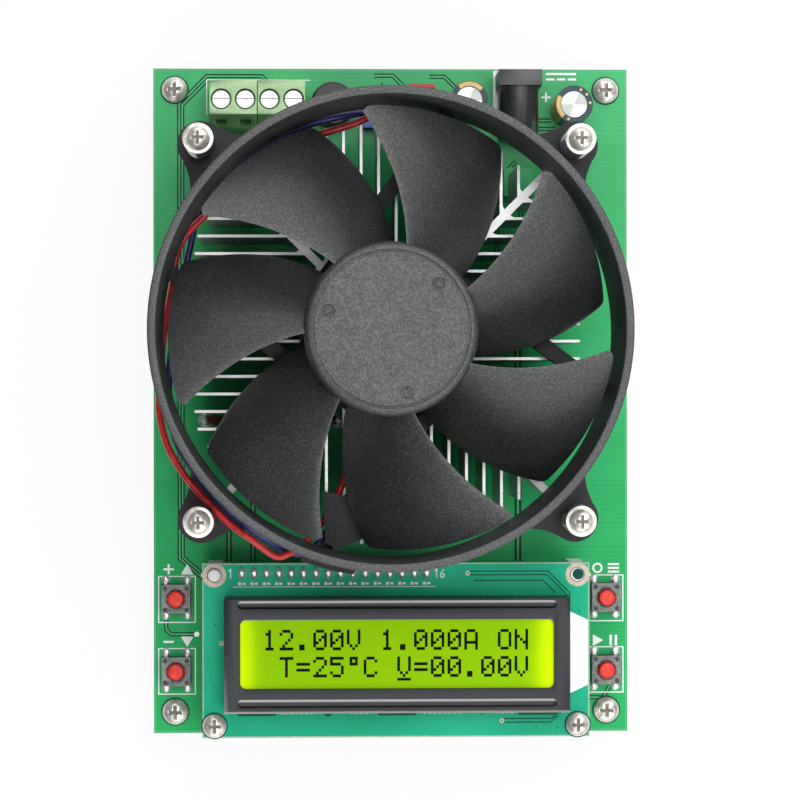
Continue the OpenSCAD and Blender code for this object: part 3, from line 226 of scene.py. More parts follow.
def solder_mask(name, shade, deep, mid, light, hatch=0.1, gloss=(0.14, 0.36)):
    """Lacquered board: green over a hatched copper pour, pale glass fibre on the cut edges."""
    p = Paint(name)
    cloud = p.noise(24, 4)
    speck = p.noise(0.4, 2)
    tone = p.ramp(cloud, (0.25, deep), (0.5, mid), (0.75, light))
    weave = p.add("ShaderNodeTexWave", Scale=314.0, Distortion=0.5)
    weave.bands_direction = "Y"
    p.link(p.where, weave.inputs["Vector"])
    lines = p.mix(p.span(weave.outputs[1], 0.1, 0.55, hatch, 0.0), tone, shade)
    flecks = p.mix(p.span(speck, 0.62, 0.75, 0.0, 0.14), lines, shade)
    side = p.span(p.math("ABSOLUTE", p.facing("Z")), 0.4, 0.6, 1.0, 0.0)
    fibre = p.ramp(p.noise(0.5, 3), (0.3, "9DA571"), (0.7, "C9CBA0"))
    p.colour(p.mix(side, flecks, fibre))
    p.roughness(p.span(speck, 0.3, 0.7, 0.3, 0.4))
    if gloss[0] == gloss[1]:
        p.set(Specular_IOR_Level=gloss[0])
    else:
        p.link(p.span(p.axis("Y"), -0.03, 0.055, *gloss), p.skin.inputs["Specular IOR Level"])
    p.bump(weave.outputs[1], 0.08, 0.02)
    return p


def fan_plastic():
    """Charcoal nylon: even colour, fine moulded grain in gloss and relief."""
    p = Paint("fan_black")
    fine = p.noise(0.4, 2.0, rough=0.65)
    wide = p.noise(20, 3)
    tone = p.math("ADD", p.math("MULTIPLY", fine, 0.8), p.math("MULTIPLY", wide, 0.2))
    p.colour(p.ramp(tone, (0.36, "101213"), (0.5, "262829"), (0.64, "47494A")))
    p.roughness(p.span(fine, 0.36, 0.64, 0.6, 0.44))
    p.set(Specular_IOR_Level=0.96)
    p.bump(fine, 0.7, 0.09)
    return p.mat


def display_glow():
    """Lit display glass: yellow at both ends where the lamps are, greener in the middle."""
    p = Paint("display_glass")
    x = p.axis("X")
    left = p.span(x, -0.0316, -0.0255, 1.0, 0.0, True)
    right = p.span(x, 0.0255, 0.0335, 0.0, 1.0, True)
    ends = p.math("ADD", left, p.math("MULTIPLY", right, 1.15))
    cloud = p.span(p.noise(16, 2), 0.3, 0.7, -0.12, 0.12)
    tone = p.ramp(p.math("ADD", ends, cloud), (0.0, "8CC404"), (0.35, "9FD002"), (0.75, "BEEA00"), (1.0, "D2F600"))
    p.colour(tone)
    p.link(tone, p.skin.inputs["Emission Color"])
    p.set(Emission_Strength=0.06, Specular_IOR_Level=0.03)
    p.roughness(p.span(p.noise(0.6, 2), 0.3, 0.7, 0.4, 0.5))
    return p.mat


def fin_metal():
    """Extruded aluminium: sawn faces above, painted near white as a painted highlight over their saw grain; drawn
    lines down the fins.
    """
    p = Paint("sink_aluminium")
    lines = p.noise(1.2, 3, p.stretch(1, 1, 0.03))
    saw = p.noise(1.0, 3, p.stretch(0.15, 1, 1))
    # Painted highlight: up-facing faces take the near-white tone.
    flat = p.span(p.facing("Z"), 0.5, 0.9)
    draw = p.ramp(lines, (0.3, "8F9597"), (0.7, "C3C7C8"))
    sawn = p.ramp(saw, (0.3, "F0F1F0"), (0.7, "FCFCFB"))
    p.colour(p.mix(flat, draw, sawn))
    p.roughness(p.span(saw, 0.3, 0.7, 0.26, 0.4))
    p.set(Metallic=0.6)
    p.bump(lines, 0.3, 0.02)
    return p.mat


def terminal_plastic():
    """Terminal housing: paler green on its top faces as painted light, a deeper green down its sides, and painted
    shade on the floors in its slots.
    """
    p = Paint("terminal_green")
    fine = p.noise(0.6, 2)
    top = p.ramp(fine, (0.3, "B4DAA2"), (0.5, "C0E3AF"), (0.7, "CCEBBC"))
    slope = p.ramp(fine, (0.3, "74AE6C"), (0.7, "84BC7B"))
    slot = p.ramp(fine, (0.3, "1A361C"), (0.7, "234424"))
    # Painted light: up-facing faces at the top get the paler green, up-facing floors lower down get the painted slot
    # shade.
    level = p.span(p.facing("Z"), 0.75, 0.95)
    roof = p.math("MULTIPLY", level, p.span(p.axis("Z"), 0.0196, 0.0202))
    slot_floor_shade = p.math("MULTIPLY", level, p.span(p.axis("Z"), 0.0194, 0.0188))
    p.colour(p.mix(slot_floor_shade, p.mix(roof, slope, top), slot))
    p.roughness(p.span(fine, 0.3, 0.7, 0.38, 0.5))
    p.set(Specular_IOR_Level=0.4)
    p.bump(fine, 0.25, 0.02)
    return p.mat


def can_metal():
    """Turned aluminium can: two opposite grey sectors on its end, a painted reflection."""
    p = Paint("capacitor_can")
    fine = p.noise(0.5, 3)
    x = p.axis("X")
    middle = p.mix(p.span(x, 0.0268, 0.027), p.place(*CAN_LEFT), p.place(*CAN_RIGHT))
    turn = p.math("ARCTAN2", p.axis("Y", middle), p.axis("X", middle))
    # Painted reflection: two opposite darker sectors round each can's middle.
    sector_reflection = p.span(p.math("SINE", p.math("ADD", p.math("MULTIPLY", turn, 2.0), 0.4)), -0.2, 0.6, 0.0, 1.0, True)
    bright = p.ramp(fine, (0.3, "BEC0C0"), (0.7, "D0D2D2"))
    grey = p.ramp(fine, (0.3, "8A8D8D"), (0.7, "9C9F9F"))
    p.colour(p.mix(sector_reflection, bright, grey))
    p.roughness(p.span(fine, 0.3, 0.7, 0.3, 0.42))
    p.set(Metallic=1.0)
    p.bump(p.noise(0.25, 2), 0.2, 0.02)
    return p.mat


def enamel_red():
    """Push cap: brighter red on its up-facing crown as a painted highlight, deeper down its side."""
    p = moulded("cap_red", "A81410", "C01A14", "D42A20", (0.28, 0.4), 0.5, 0.02, 0.3, 0.3)
    edge = p.skin.inputs["Base Color"].links[0].from_socket
    # Painted highlight: faces that point straight up get a brighter orange-red.
    crown = p.ramp(p.noise(1.1, 2), (0.35, "DC2A1C"), (0.65, "EE4630"))
    p.colour(p.mix(p.span(p.facing("Z"), 0.93, 0.998), edge, crown))
    return p.mat


def bezel_paint():
    """Black lacquer on sheet metal, with a painted highlight on the up-facing folds that face the front and along the
    lower lip, and painted shade on those that face the back.
    """
    p = moulded("bezel_black", "25282D", "2A2D33", "31353B", (0.34, 0.44), 0.5, 0.012, 0.3, 0.3)
    lacquer = p.skin.inputs["Base Color"].links[0].from_socket
    # Painted light: front-facing folds and the lower lip get a pale grey highlight, back-facing folds a near-black
    # shade.
    up = p.span(p.facing("Z"), 0.1, 0.3)
    front = p.math("MULTIPLY", p.span(p.facing("Y"), -0.15, -0.5), up)
    rear_shade = p.math("MULTIPLY", p.span(p.facing("Y"), 0.15, 0.5), up)
    lip = p.math("MULTIPLY", p.span(p.axis("Y"), -0.06322, -0.06332), up)
    tone = p.mix(front, p.mix(rear_shade, lacquer, "08090A"), "B0B0AE")
    p.colour(p.mix(p.math("MULTIPLY", lip, 0.6), tone, "A6A4A0"))
    return p.mat


def chip_lacquer():
    """Black chip cases in front; the one behind the fan lies under the board's green lacquer."""
    p = moulded("chip_lacquered", "151617", "222426", "34373A", (0.3, 0.48), 0.4, 0.02, 0.4)
    case = p.skin.inputs["Base Color"].links[0].from_socket
    green = p.ramp(p.noise(3, 3), (0.3, "1F9E57"), (0.7, "30BA6E"))
    p.colour(p.mix(p.span(p.axis("Y"), 0.02, 0.021), case, green))
    return p.mat


MAT = {
    "board_green": solder_mask("board_green", "0E6236", "1F9E57", "25AE62", "30BA6E").mat,
    "display_board_green": solder_mask(
        "display_board_green", "0B5A48", "169E77", "1BB086", "2ABF96", 0.0, (0.09, 0.09)).mat,
    "solder": metal("solder", "BFC0C0", "F2F2F2", (0.26, 0.42), 0.9, relief=0.05, metallic=0.7).mat,
    "brass": metal("brass", "8C6B2A", "D3B264", (0.22, 0.4), 1.5, (1, 1, 4)).mat,
    "screw_nickel": metal("screw_nickel", "D0CBC1", "F7F4EE", (0.28, 0.42), 1.2, relief=0.04, metallic=0.72).mat,
    "screw_recess": metal("screw_recess", "4A4640", "8C867E", (0.4, 0.55), 0.6, relief=0.06, metallic=0.7).mat,
    "spring_steel": metal("spring_steel", "8F9092", "DADBDC", (0.12, 0.28), 0.7).mat,
    "sink_aluminium": fin_metal(),
    "fan_black": fan_plastic(),
    "fan_smooth": moulded("fan_smooth", "151718", "1A1C1D", "212324", (0.3, 0.42), 0.6, 0.01, 0.2, 0.13).mat,
    "fan_dark": moulded("fan_dark", "1C1E1E", "292B2C", "393B3C", (0.45, 0.6), 0.5, 0.05, 0.5, 0.3).mat,
    "motor_steel": metal("motor_steel", "6F7274", "A7AAAC", (0.3, 0.45), 1.6, (1, 1, 6)).mat,
    "magnet": moulded("magnet", "171514", "292625", "3A3634", (0.6, 0.8)).mat,
    "copper": metal("copper", "4A2412", "8E4B28", (0.3, 0.45), 1.1, (0.25, 1, 1)).mat,
    "motor_board_green": solder_mask("motor_board_green", "06301A", "0D5B32", "13713F", "1E834E").mat,
    "part_black": moulded("part_black", "151617", "222426", "34373A", (0.3, 0.48), 0.4, 0.02, 0.4).mat,
    "jack_black": moulded("jack_black", "232425", "2F3132", "434647", (0.3, 0.42), 0.5, 0.03, 0.4, 0.7).mat,
    "wire_red": moulded("wire_red", "9E1418", "C8232A", "DC3A3D", (0.28, 0.4), 1.2, 0.01, 0.2).mat,
    "wire_blue": moulded("wire_blue", "10123F", "1C1F66", "2C2F80", (0.28, 0.4), 1.2, 0.01, 0.2).mat,
    "connector_red": moulded("connector_red", "8E1A18", "B32623", "C83A34", (0.3, 0.45), 0.6, 0.02, 0.3).mat,
    "bezel_black": bezel_paint(),
    "chip_lacquered": chip_lacquer(),
    "display_glass": display_glow(),
    "backlight_white": moulded("backlight_white", "F8F9F8", "FDFDFC", "FFFFFF", (0.35, 0.5), 0.8, 0.01, 0.1).mat,
    "nylon_white": moulded("nylon_white", "EEEEEA", "F7F7F4", "FFFFFD", (0.4, 0.55), 0.6, 0.02, 0.3).mat,
    "switch_plate": metal("switch_plate", "565858", "929493", (0.42, 0.62), 0.4, relief=0.08, metallic=0.8).mat,
    "cap_red": enamel_red(),
    "terminal_green": terminal_plastic(),
    "terminal_screw": metal("terminal_screw", "A9ACAE", "DADCDD", (0.3, 0.42), 0.9, relief=0.03).mat,
    "capacitor_can": can_metal(),
    "capacitor_sleeve": moulded(
        "capacitor_sleeve", "0E2E36", "143A44", "1E4A54", (0.26, 0.38), 0.8, 0.01, 0.2, 0.35).mat,
    "trimmer_blue": moulded("trimmer_blue", "123A86", "1B4CA6", "2E62BE", (0.3, 0.45), 0.6).mat,
    "trimmer_white": moulded("trimmer_white", "DDD9C8", "EAE7D9", "F5F3EA", (0.4, 0.55), 0.6).mat,
    "mask_dark": moulded("mask_dark", "0B3E22", "0F4B2A", "145833", (0.28, 0.4), 0.6, 0.01, 0.2, 0.1).mat,
    "mask_pale": moulded("mask_pale", "2FA864", "3BB470", "4CC080", (0.28, 0.4), 0.6, 0.01, 0.2).mat,
    "lcd_mask_dark": moulded("lcd_mask_dark", "063F33", "0A4E40", "105F4E", (0.28, 0.4), 0.6, 0.01, 0.2, 0.1).mat,
    "silk_white": moulded("silk_white", "F0F4F1", "FAFCFA", "FFFFFF", (0.45, 0.6), 0.35, 0.01, 0.3).mat,
    "pad_tan": moulded("pad_tan", "BDAC93", "D2C4AE", "E4DACA", (0.38, 0.5), 0.6, 0.02, 0.3).mat,
    "edge_pale": moulded("edge_pale", "93A595", "ADBBAA", "C6CFC0", (0.4, 0.55), 0.5, 0.02, 0.3).mat,
    "segment_black": moulded("segment_black", "0A1002", "0F1604", "151D06", (0.4, 0.5), 0.5, 0.005, 0.2, 0.03).mat,
    "sleeve_gold": moulded("sleeve_gold", "C9A552", "DDBE72", "EDD596", (0.25, 0.38), 0.6, 0.01, 0.2).mat,
}

NODE_SLOT = {part["node"]: part["material_slot"] for part in frame["record"]["subparts"]}

# Finishes that differ from the node's slot
OWN_FINISH = {"jack_body": "jack_black", "fan_frame": "fan_dark", "control_chips": "chip_lacquered"}
OWN_FINISH.update({"terminal_screw_%d" % i: "terminal_screw" for i in range(1, 5)})


def dress(obj, key):
    obj.data.materials.clear()
    obj.data.materials.append(MAT[key])


for name, obj in nodes.items():
    dress(obj, OWN_FINISH.get(name, NODE_SLOT[name]))


# Mesh building

def circle(n):
    """Cosine and sine of n even steps round a circle."""
    return [(math.cos(2 * math.pi * i / n), math.sin(2 * math.pi * i / n)) for i in range(n)]


class Shape:
    """Collects vertices and faces, in millimetres."""

    def __init__(self):
        self.points = []
        self.faces = []

    def add(self, points, faces):
        first = len(self.points)
        self.points += points
        self.faces += [[first + i for i in face] for face in faces]

    def prism(self, outline, z, height):
        n = len(outline)
        area = sum(outline[i][0] * outline[(i + 1) % n][1] - outline[(i + 1) % n][0] * outline[i][1] for i in range(n))
        if area < 0:
            outline = outline[::-1]
        points = [(x, y, z) for x, y in outline] + [(x, y, z + height) for x, y in outline]
        sides = [[i, (i + 1) % n, n + (i + 1) % n, n + i] for i in range(n)]
        self.add(points, sides + [list(range(n, 2 * n)), list(range(n - 1, -1, -1))])

    def strip(self, path, width, z, height=0.03, closed=False):
        """Flat track of that width along a path."""
        n = len(path)
        left, right = [], []
        for i, (x, y) in enumerate(path):
            before = path[(i - 1) % n] if closed or i else None
            after = path[(i + 1) % n] if closed or i < n - 1 else None
            way = []
            for a, b in ((before, (x, y)), ((x, y), after)):
                if a and b:
                    way.append(Vector((b[0] - a[0], b[1] - a[1])).normalized())
            mean = sum(way, Vector((0, 0))).normalized()
            reach = width / 2 / max(0.3, mean.dot(way[0]))
            left.append((x - mean.y * reach, y + mean.x * reach))
            right.append((x + mean.y * reach, y - mean.x * reach))
        for i in range(n if closed else n - 1):
            j = (i + 1) % n
            self.prism([left[i], right[i], right[j], left[j]], z, height)

    def disc(self, x, y, r, z, height=0.03, n=28):
        self.prism([(x + r * c, y + r * s) for c, s in circle(n)], z, height)

    def ring(self, x, y, r_in, r_out, z, height=0.03, n=40):
        points = []
        for r, up in ((r_in, 0), (r_out, 0), (r_out, height), (r_in, height)):
            points += [(x + r * c, y + r * s, z + up) for c, s in circle(n)]
        faces = []
        for i in range(n):
            j = (i + 1) % n
            for a, b in ((0, 1), (1, 2), (2, 3), (3, 0)):
                faces.append([a * n + i, b * n + i, b * n + j, a * n + j][::-1])
        self.add(points, faces)

    def box(self, x, y, w, l, z, height):
        west, east, south, north = x - w / 2, x + w / 2, y - l / 2, y + l / 2
        self.prism([(west, south), (east, south), (east, north), (west, north)], z, height)

    def stadium(self, x, y, w, l, z, height=0.03, n=10):
        """Bar along x with round ends."""
        r = l / 2
        pts = []
        for cx, start in ((1, -90), (-1, 90)):
            for i in range(n + 1):
                a = math.radians(start + 180 * i / n)
                pts.append((x + cx * (w / 2 - r) + r * math.cos(a), y + r * math.sin(a)))
        self.prism(pts, z, height)

    def dome(self, x, y, rx, ry, z, height, n=24, rings=7, power=1.0):
        """Closed dome over an ellipse; a power below one makes its sides steeper."""
        points, faces = [], []
        for k in range(rings):
            t = math.pi / 2 * k / rings
            scale = math.cos(t) ** power
            points += [(x + rx * scale * c, y + ry * scale * s, z + height * math.sin(t)) for c, s in circle(n)]
        points.append((x, y, z + height))
        for k in range(rings - 1):
            for i in range(n):
                j = (i + 1) % n
                faces.append([k * n + i, k * n + j, (k + 1) * n + j, (k + 1) * n + i])
        top = rings * n
        faces += [[(rings - 1) * n + i, (rings - 1) * n + (i + 1) % n, top] for i in range(n)]
        faces.append(list(range(n - 1, -1, -1)))
        self.add(points, faces)

    def tube(self, path, r, sides=14):
        """Round tube along a path of vectors, with closed ends."""
        path = [Vector(p) for p in path]
        count = len(path)
        points, faces = [], []
        side = None
        for i, p in enumerate(path):
            t = (path[min(i + 1, count - 1)] - path[max(i - 1, 0)]).normalized()
            if side is None:
                side = t.cross(Vector((0.3, 0.2, 1))).normalized()
            side = (side - t * side.dot(t)).normalized()
            up = t.cross(side)
            for k in range(sides):
                a = 2 * math.pi * k / sides
                points.append(tuple(p + r * (side * math.cos(a) + up * math.sin(a))))
        for i in range(count - 1):
            for k in range(sides):
                n = (k + 1) % sides
                faces.append([i * sides + k, i * sides + n, (i + 1) * sides + n, (i + 1) * sides + k])
        faces.append(list(range(sides - 1, -1, -1)))
        faces.append([(count - 1) * sides + k for k in range(sides)])
        self.add(points, faces)

    def lathe(self, profile, x, y, n, closed=True):
        """A section (r, z) turned round an upright axis."""
        m = len(profile)
        points = [(x + r * c, y + r * s, z) for c, s in circle(n) for r, z in profile]
        faces = []
        for i in range(n):
            j = (i + 1) % n
            for k in range(m if closed else m - 1):
                q = (k + 1) % m
                faces.append([i * m + k, i * m + q, j * m + q, j * m + k])
        self.add(points, faces)

    def build(self, name, key, body="board", slot=None, sharp=None, normals=True):
        mesh = bpy.data.meshes.new(name)
        mesh.from_pydata([metres(*p) for p in self.points], [], self.faces)
        if normals:
            work = bmesh.new()
            work.from_mesh(mesh)
            bmesh.ops.recalc_face_normals(work, faces=work.faces)
            work.to_mesh(mesh)
            work.free()
        mesh.materials.append(MAT[key])
        if sharp is not None:
            mesh.polygons.foreach_set("use_smooth", [True] * len(mesh.polygons))
            mesh.set_sharp_from_angle(angle=math.radians(sharp))
        mesh.update()
        obj = bpy.data.objects.new(name, mesh)
        scene.collection.objects.link(obj)
        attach(obj, body)
        return obj


def soften(node, width, key=None, slide=None):
    """A copy of a CAD node with its sharp edges rounded, shown in its place.

    A slide moves what lies at the very top between two y values, in millimetres.
    """
    source = nodes[node]
    work = bmesh.new()
    work.from_mesh(source.data)
    bmesh.ops.remove_doubles(work, verts=work.verts, dist=1e-6)
    if slide:
        low, high, step = slide
        top = max(v.co.z for v in work.verts)
        for v in work.verts:
            if low < v.co.y * 1000 < high and v.co.z > top - 0.0005:
                v.co.y += step / 1000
    bmesh.ops.dissolve_limit(work, angle_limit=math.radians(0.5), verts=work.verts, edges=work.edges)
    mesh = bpy.data.meshes.new(node + "_soft")
    work.to_mesh(mesh)
    work.free()
    mesh.materials.append(MAT[key or NODE_SLOT[node]])
    mesh.polygons.foreach_set("use_smooth", [True] * len(mesh.polygons))
    obj = bpy.data.objects.new(node + "_soft", mesh)
    scene.collection.objects.link(obj)
    bevel = obj.modifiers.new("round", "BEVEL")
    bevel.width = width / 1000
    bevel.segments = 2
    bevel.limit_method = "ANGLE"
    bevel.angle_limit = math.radians(35)
    bevel.harden_normals = True
    bevel.use_clamp_overlap = True
    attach(obj, source["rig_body"])
    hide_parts(node)


# Fan wheel

HUB_TOP, HUB_LOW, HUB_R, HUB_ROUND, FACE_R = 57.0, 37.5, 16.7, 1.5, 14.6
HUB_STEPS, MARK_R = 160, 1.25
BLADE_ROOT, BLADE_TIP = 16.0, 42.7
BLADE_HIGH, BLADE_LOW, CAMBER = 56.1, 38.3, 0.45


def blade_point(s, c, side, turn):
    """A point of a blade: s from root to tip, c from its upper to its lower edge."""
    cut = 1.1 * max(0, 1 - c / 0.05) ** 2 + 0.8 * max(0, 1 - (1 - c) / 0.05) ** 2
    r = BLADE_ROOT + s * (BLADE_TIP - BLADE_ROOT - cut)
    a = math.radians(-23.5 + 18 * s - c * (45.3 - 5.9 * s) + turn)
    z = BLADE_HIGH - (BLADE_HIGH - BLADE_LOW) * c * (1 - CAMBER + CAMBER * c)
    t = 1.3 * (1.4 - 0.4 * s) * (0.3 + 0.7 * math.sqrt(max(0, math.sin(math.pi * c))))
    return (FAN_X + r * math.cos(a), FAN_Y + r * math.sin(a), z + side * t / 2)


def fan_wheel():
    wheel = Shape()
    rows, cols = 26, 60
    for blade in range(7):
        turn = -blade * 360 / 7
        points = [blade_point(i / rows, j / cols, side, turn)
                  for side in (1, -1) for i in range(rows + 1) for j in range(cols + 1)]
        w = cols + 1
        half = (rows + 1) * w
        faces = []
        for i in range(rows):
            for j in range(cols):
                a = i * w + j
                faces.append([a, a + w, a + w + 1, a + 1])
                faces.append([half + a, half + a + 1, half + a + w + 1, half + a + w])
        rim = list(range(cols)) + [i * w + cols for i in range(rows)]
        rim += [rows * w + j for j in range(cols, 0, -1)] + [i * w for i in range(rows, 0, -1)]
        for k in range(len(rim)):
            a, b = rim[k], rim[(k + 1) % len(rim)]
            faces.append([a, b, half + b, half + a])
        wheel.add(points, faces)
    wall = [(FACE_R, HUB_TOP), (FACE_R + 0.08, HUB_TOP - 0.5), (FACE_R + 0.52, HUB_TOP - 0.5)]
    for degrees in range(0, 91, 10):
        a = math.radians(degrees)
        wall.append((HUB_R + HUB_ROUND * (math.sin(a) - 1), HUB_TOP + HUB_ROUND * (math.cos(a) - 1)))
    wall += [(HUB_R, HUB_LOW + 0.3), (HUB_R - 0.3, HUB_LOW), (15.4, HUB_LOW), (15.4, 55.4), (1.55, 55.4)]
    wheel.lathe(wall, FAN_X, FAN_Y, HUB_STEPS, False)
    hub_face(wheel)
    obj = wheel.build("impeller_smooth", "fan_black", "rotor", "fan_black", 32)
    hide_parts("impeller")


def hub_face(wheel):
    """Flat hub face with three ring-shaped mould marks."""
    flat, edges = [], []

    def loop(x, y, r, count):
        first = len(flat)
        for i, (c, s) in enumerate(circle(count)):
            flat.append(Vector((x + r * c, y + r * s)))
            edges.append((first + i, first + (i + 1) % count))

    loop(0, 0, FACE_R, HUB_STEPS)
    marks = []
    for k in range(3):
        a = math.radians(43.75 + 120 * k)
        marks.append((12.4 * math.cos(a), 12.4 * math.sin(a)))
        loop(*marks[-1], MARK_R, 40)
    verts, _, tris, _, _, _ = delaunay_2d_cdt(flat, edges, [], 1, 1e-5)
    keep = []
    for tri in tris:
        middle = sum((verts[i] for i in tri), Vector((0, 0))) / len(tri)
        if all((middle - Vector(m)).length > MARK_R - 0.01 for m in marks):
            keep.append(list(tri))
    wheel.add([(FAN_X + v.x, FAN_Y + v.y, HUB_TOP) for v in verts], keep)
    dents = ((MARK_R, 0), (1.12, -0.3), (0.82, -0.3), (0.7, -0.02), (0.42, -0.02), (0.34, -0.14), (0.0, -0.14))
    for x, y in marks:
        wheel.lathe([(r, HUB_TOP + z) for r, z in dents], FAN_X + x, FAN_Y + y, 40, False)


# Fan ring with a rounded rim over the frame's plain one

def fan_ring():
    ring = Shape()
    profile = [
        (44.56, 31.98), (46.23, 31.98), (46.23, 57.7), (46.19, 57.88), (46.07, 57.98), (45.95, 58.01),
        (44.82, 58.01), (44.68, 57.97), (44.59, 57.87), (44.56, 57.7),
    ]
    ring.lathe(profile, FAN_X, FAN_Y, 192)
    ring.build("fan_ring", "fan_black", "board", "fan_black", 50)


# Fan wires and springs

# Heights of the leads: under the ring, on the lugs, low beside the fins, at the motor
LIE, SHELF, LOW, BASE = 31.2, 35.8, 29.55, 34.9
RED_ROUTE = [
    (-5, -12.5, BASE), (-6.5, -18, BASE), (-8, -24, LIE + 0.4), (-9, -30, LIE), (-12.6, -37, LIE),
    (-16.5, -42, LIE), (-19.5, -43.8, LIE + 1.9), (-22.4, -44.4, LIE + 2.6), (-27, -41, SHELF + 0.1),
    (-31.4, -37.8, SHELF), (-35.6, -33.7, SHELF), (-40.1, -28.5, SHELF), (-43.7, -22.3, SHELF - 0.8),
    (-45.4, -15.6, LIE + 1.2), (-45.4, -9, LOW), (-44.6, 0, LOW), (-43, 9, LOW), (-41.4, 17.4, LOW),
    (-36, 23.6, LIE), (-29.4, 29.6, LIE), (-22.4, 35, LIE), (-14.8, 38.9, LIE), (-7.1, 41.4, LIE),
    (-3.2, 43, LIE - 0.1), (1.8, 44.3, LIE - 4), (7.2, 45.2, LIE - 12), (8.85, 48.5, 15), (8.85, 49.1, 7),
]
BLUE_ROUTE = [
    (-3, -13, BASE), (-4.5, -18.5, BASE), (-6, -24.4, LIE + 0.4), (-7, -30.5, LIE), (-11.1, -38, LIE),
    (-15.3, -43.4, LIE), (-19.9, -43.7, LIE + 0.1), (-26.2, -39.6, LIE + 4.7), (-30.2, -36.4, SHELF),
    (-34.2, -32.6, SHELF), (-38.2, -27.6, SHELF), (-41.9, -21.6, SHELF - 0.8), (-43.4, -15.2, LIE + 0.4),
    (-43.6, -9, LOW), (-42.8, 0, LOW), (-41.3, 8.4, LOW), (-39.6, 16.4, LOW - 0.9), (-37.5, 24.4, LOW - 0.6),
    (-31.6, 31.8, LIE), (-24.2, 37.2, LIE), (-16, 41.2, LIE), (-7.4, 43.4, LIE - 0.6), (0.4, 44.8, LIE - 5),
    (5, 46.8, LIE - 12), (6.85, 48.5, 15), (6.85, 49.1, 7),
]


def smooth_route(route, steps):
    """Curve through the points of a route that counts from the fan's middle."""
    pts = [Vector((x + FAN_X, y + FAN_Y, z)) for x, y, z in route]
    path = []
    for i in range(len(pts) - 1):
        a, b = pts[max(i - 1, 0)], pts[i]
        c, d = pts[i + 1], pts[min(i + 2, len(pts) - 1)]
        for k in range(steps):
            t = k / steps
            point = 2 * b + (c - a) * t + (2 * a - 5 * b + 4 * c - d) * t * t
            path.append(0.5 * (point + (3 * b - a - 3 * c + d) * t ** 3))
    return path + [pts[-1]]


def fan_leads():
    for name, route in (("red", RED_ROUTE), ("blue", BLUE_ROUTE)):
        lead = Shape()
        lead.tube(smooth_route(route, 9), 0.7, 16)
        obj = lead.build("fan_lead_" + name, "wire_" + name, "board", "wire_" + name, 50)
        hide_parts("fan_wire_" + name)


def springs():
    coil = Shape()
    turns, steps, low, high, r, wire = 6, 30, 35.05, 47.35, 2.6, 0.4
    rise = (high - low - 2 * wire) / (turns * steps)
    for x, y in LUGS:
        path = []
        for i in range(turns * steps + 1):
            a = math.radians(160) + 2 * math.pi * i / steps
            path.append((x + r * math.cos(a), y + r * math.sin(a), low + wire + i * rise))
        coil.tube(path, wire, 10)
    obj = coil.build("springs_smooth", "spring_steel", "board", "spring_steel", 60)
    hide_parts("clamp_springs")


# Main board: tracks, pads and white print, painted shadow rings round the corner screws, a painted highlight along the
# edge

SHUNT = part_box("shunt_wire")[1].z * 1000 - BOARD_TOP


def beside(path, shift):
    """The path moved sideways by that much."""
    moved = []
    for i, (x, y) in enumerate(path):
        way = []
        for a, b in ((i - 1, i), (i, i + 1)):
            if a >= 0 and b < len(path):
                way.append(Vector((path[b][0] - path[a][0], path[b][1] - path[a][1])).normalized())
        mean = sum(way, Vector((0, 0))).normalized()
        reach = shift / max(0.3, mean.dot(way[0]))
        moved.append((x - mean.y * reach, y + mean.x * reach))
    return moved


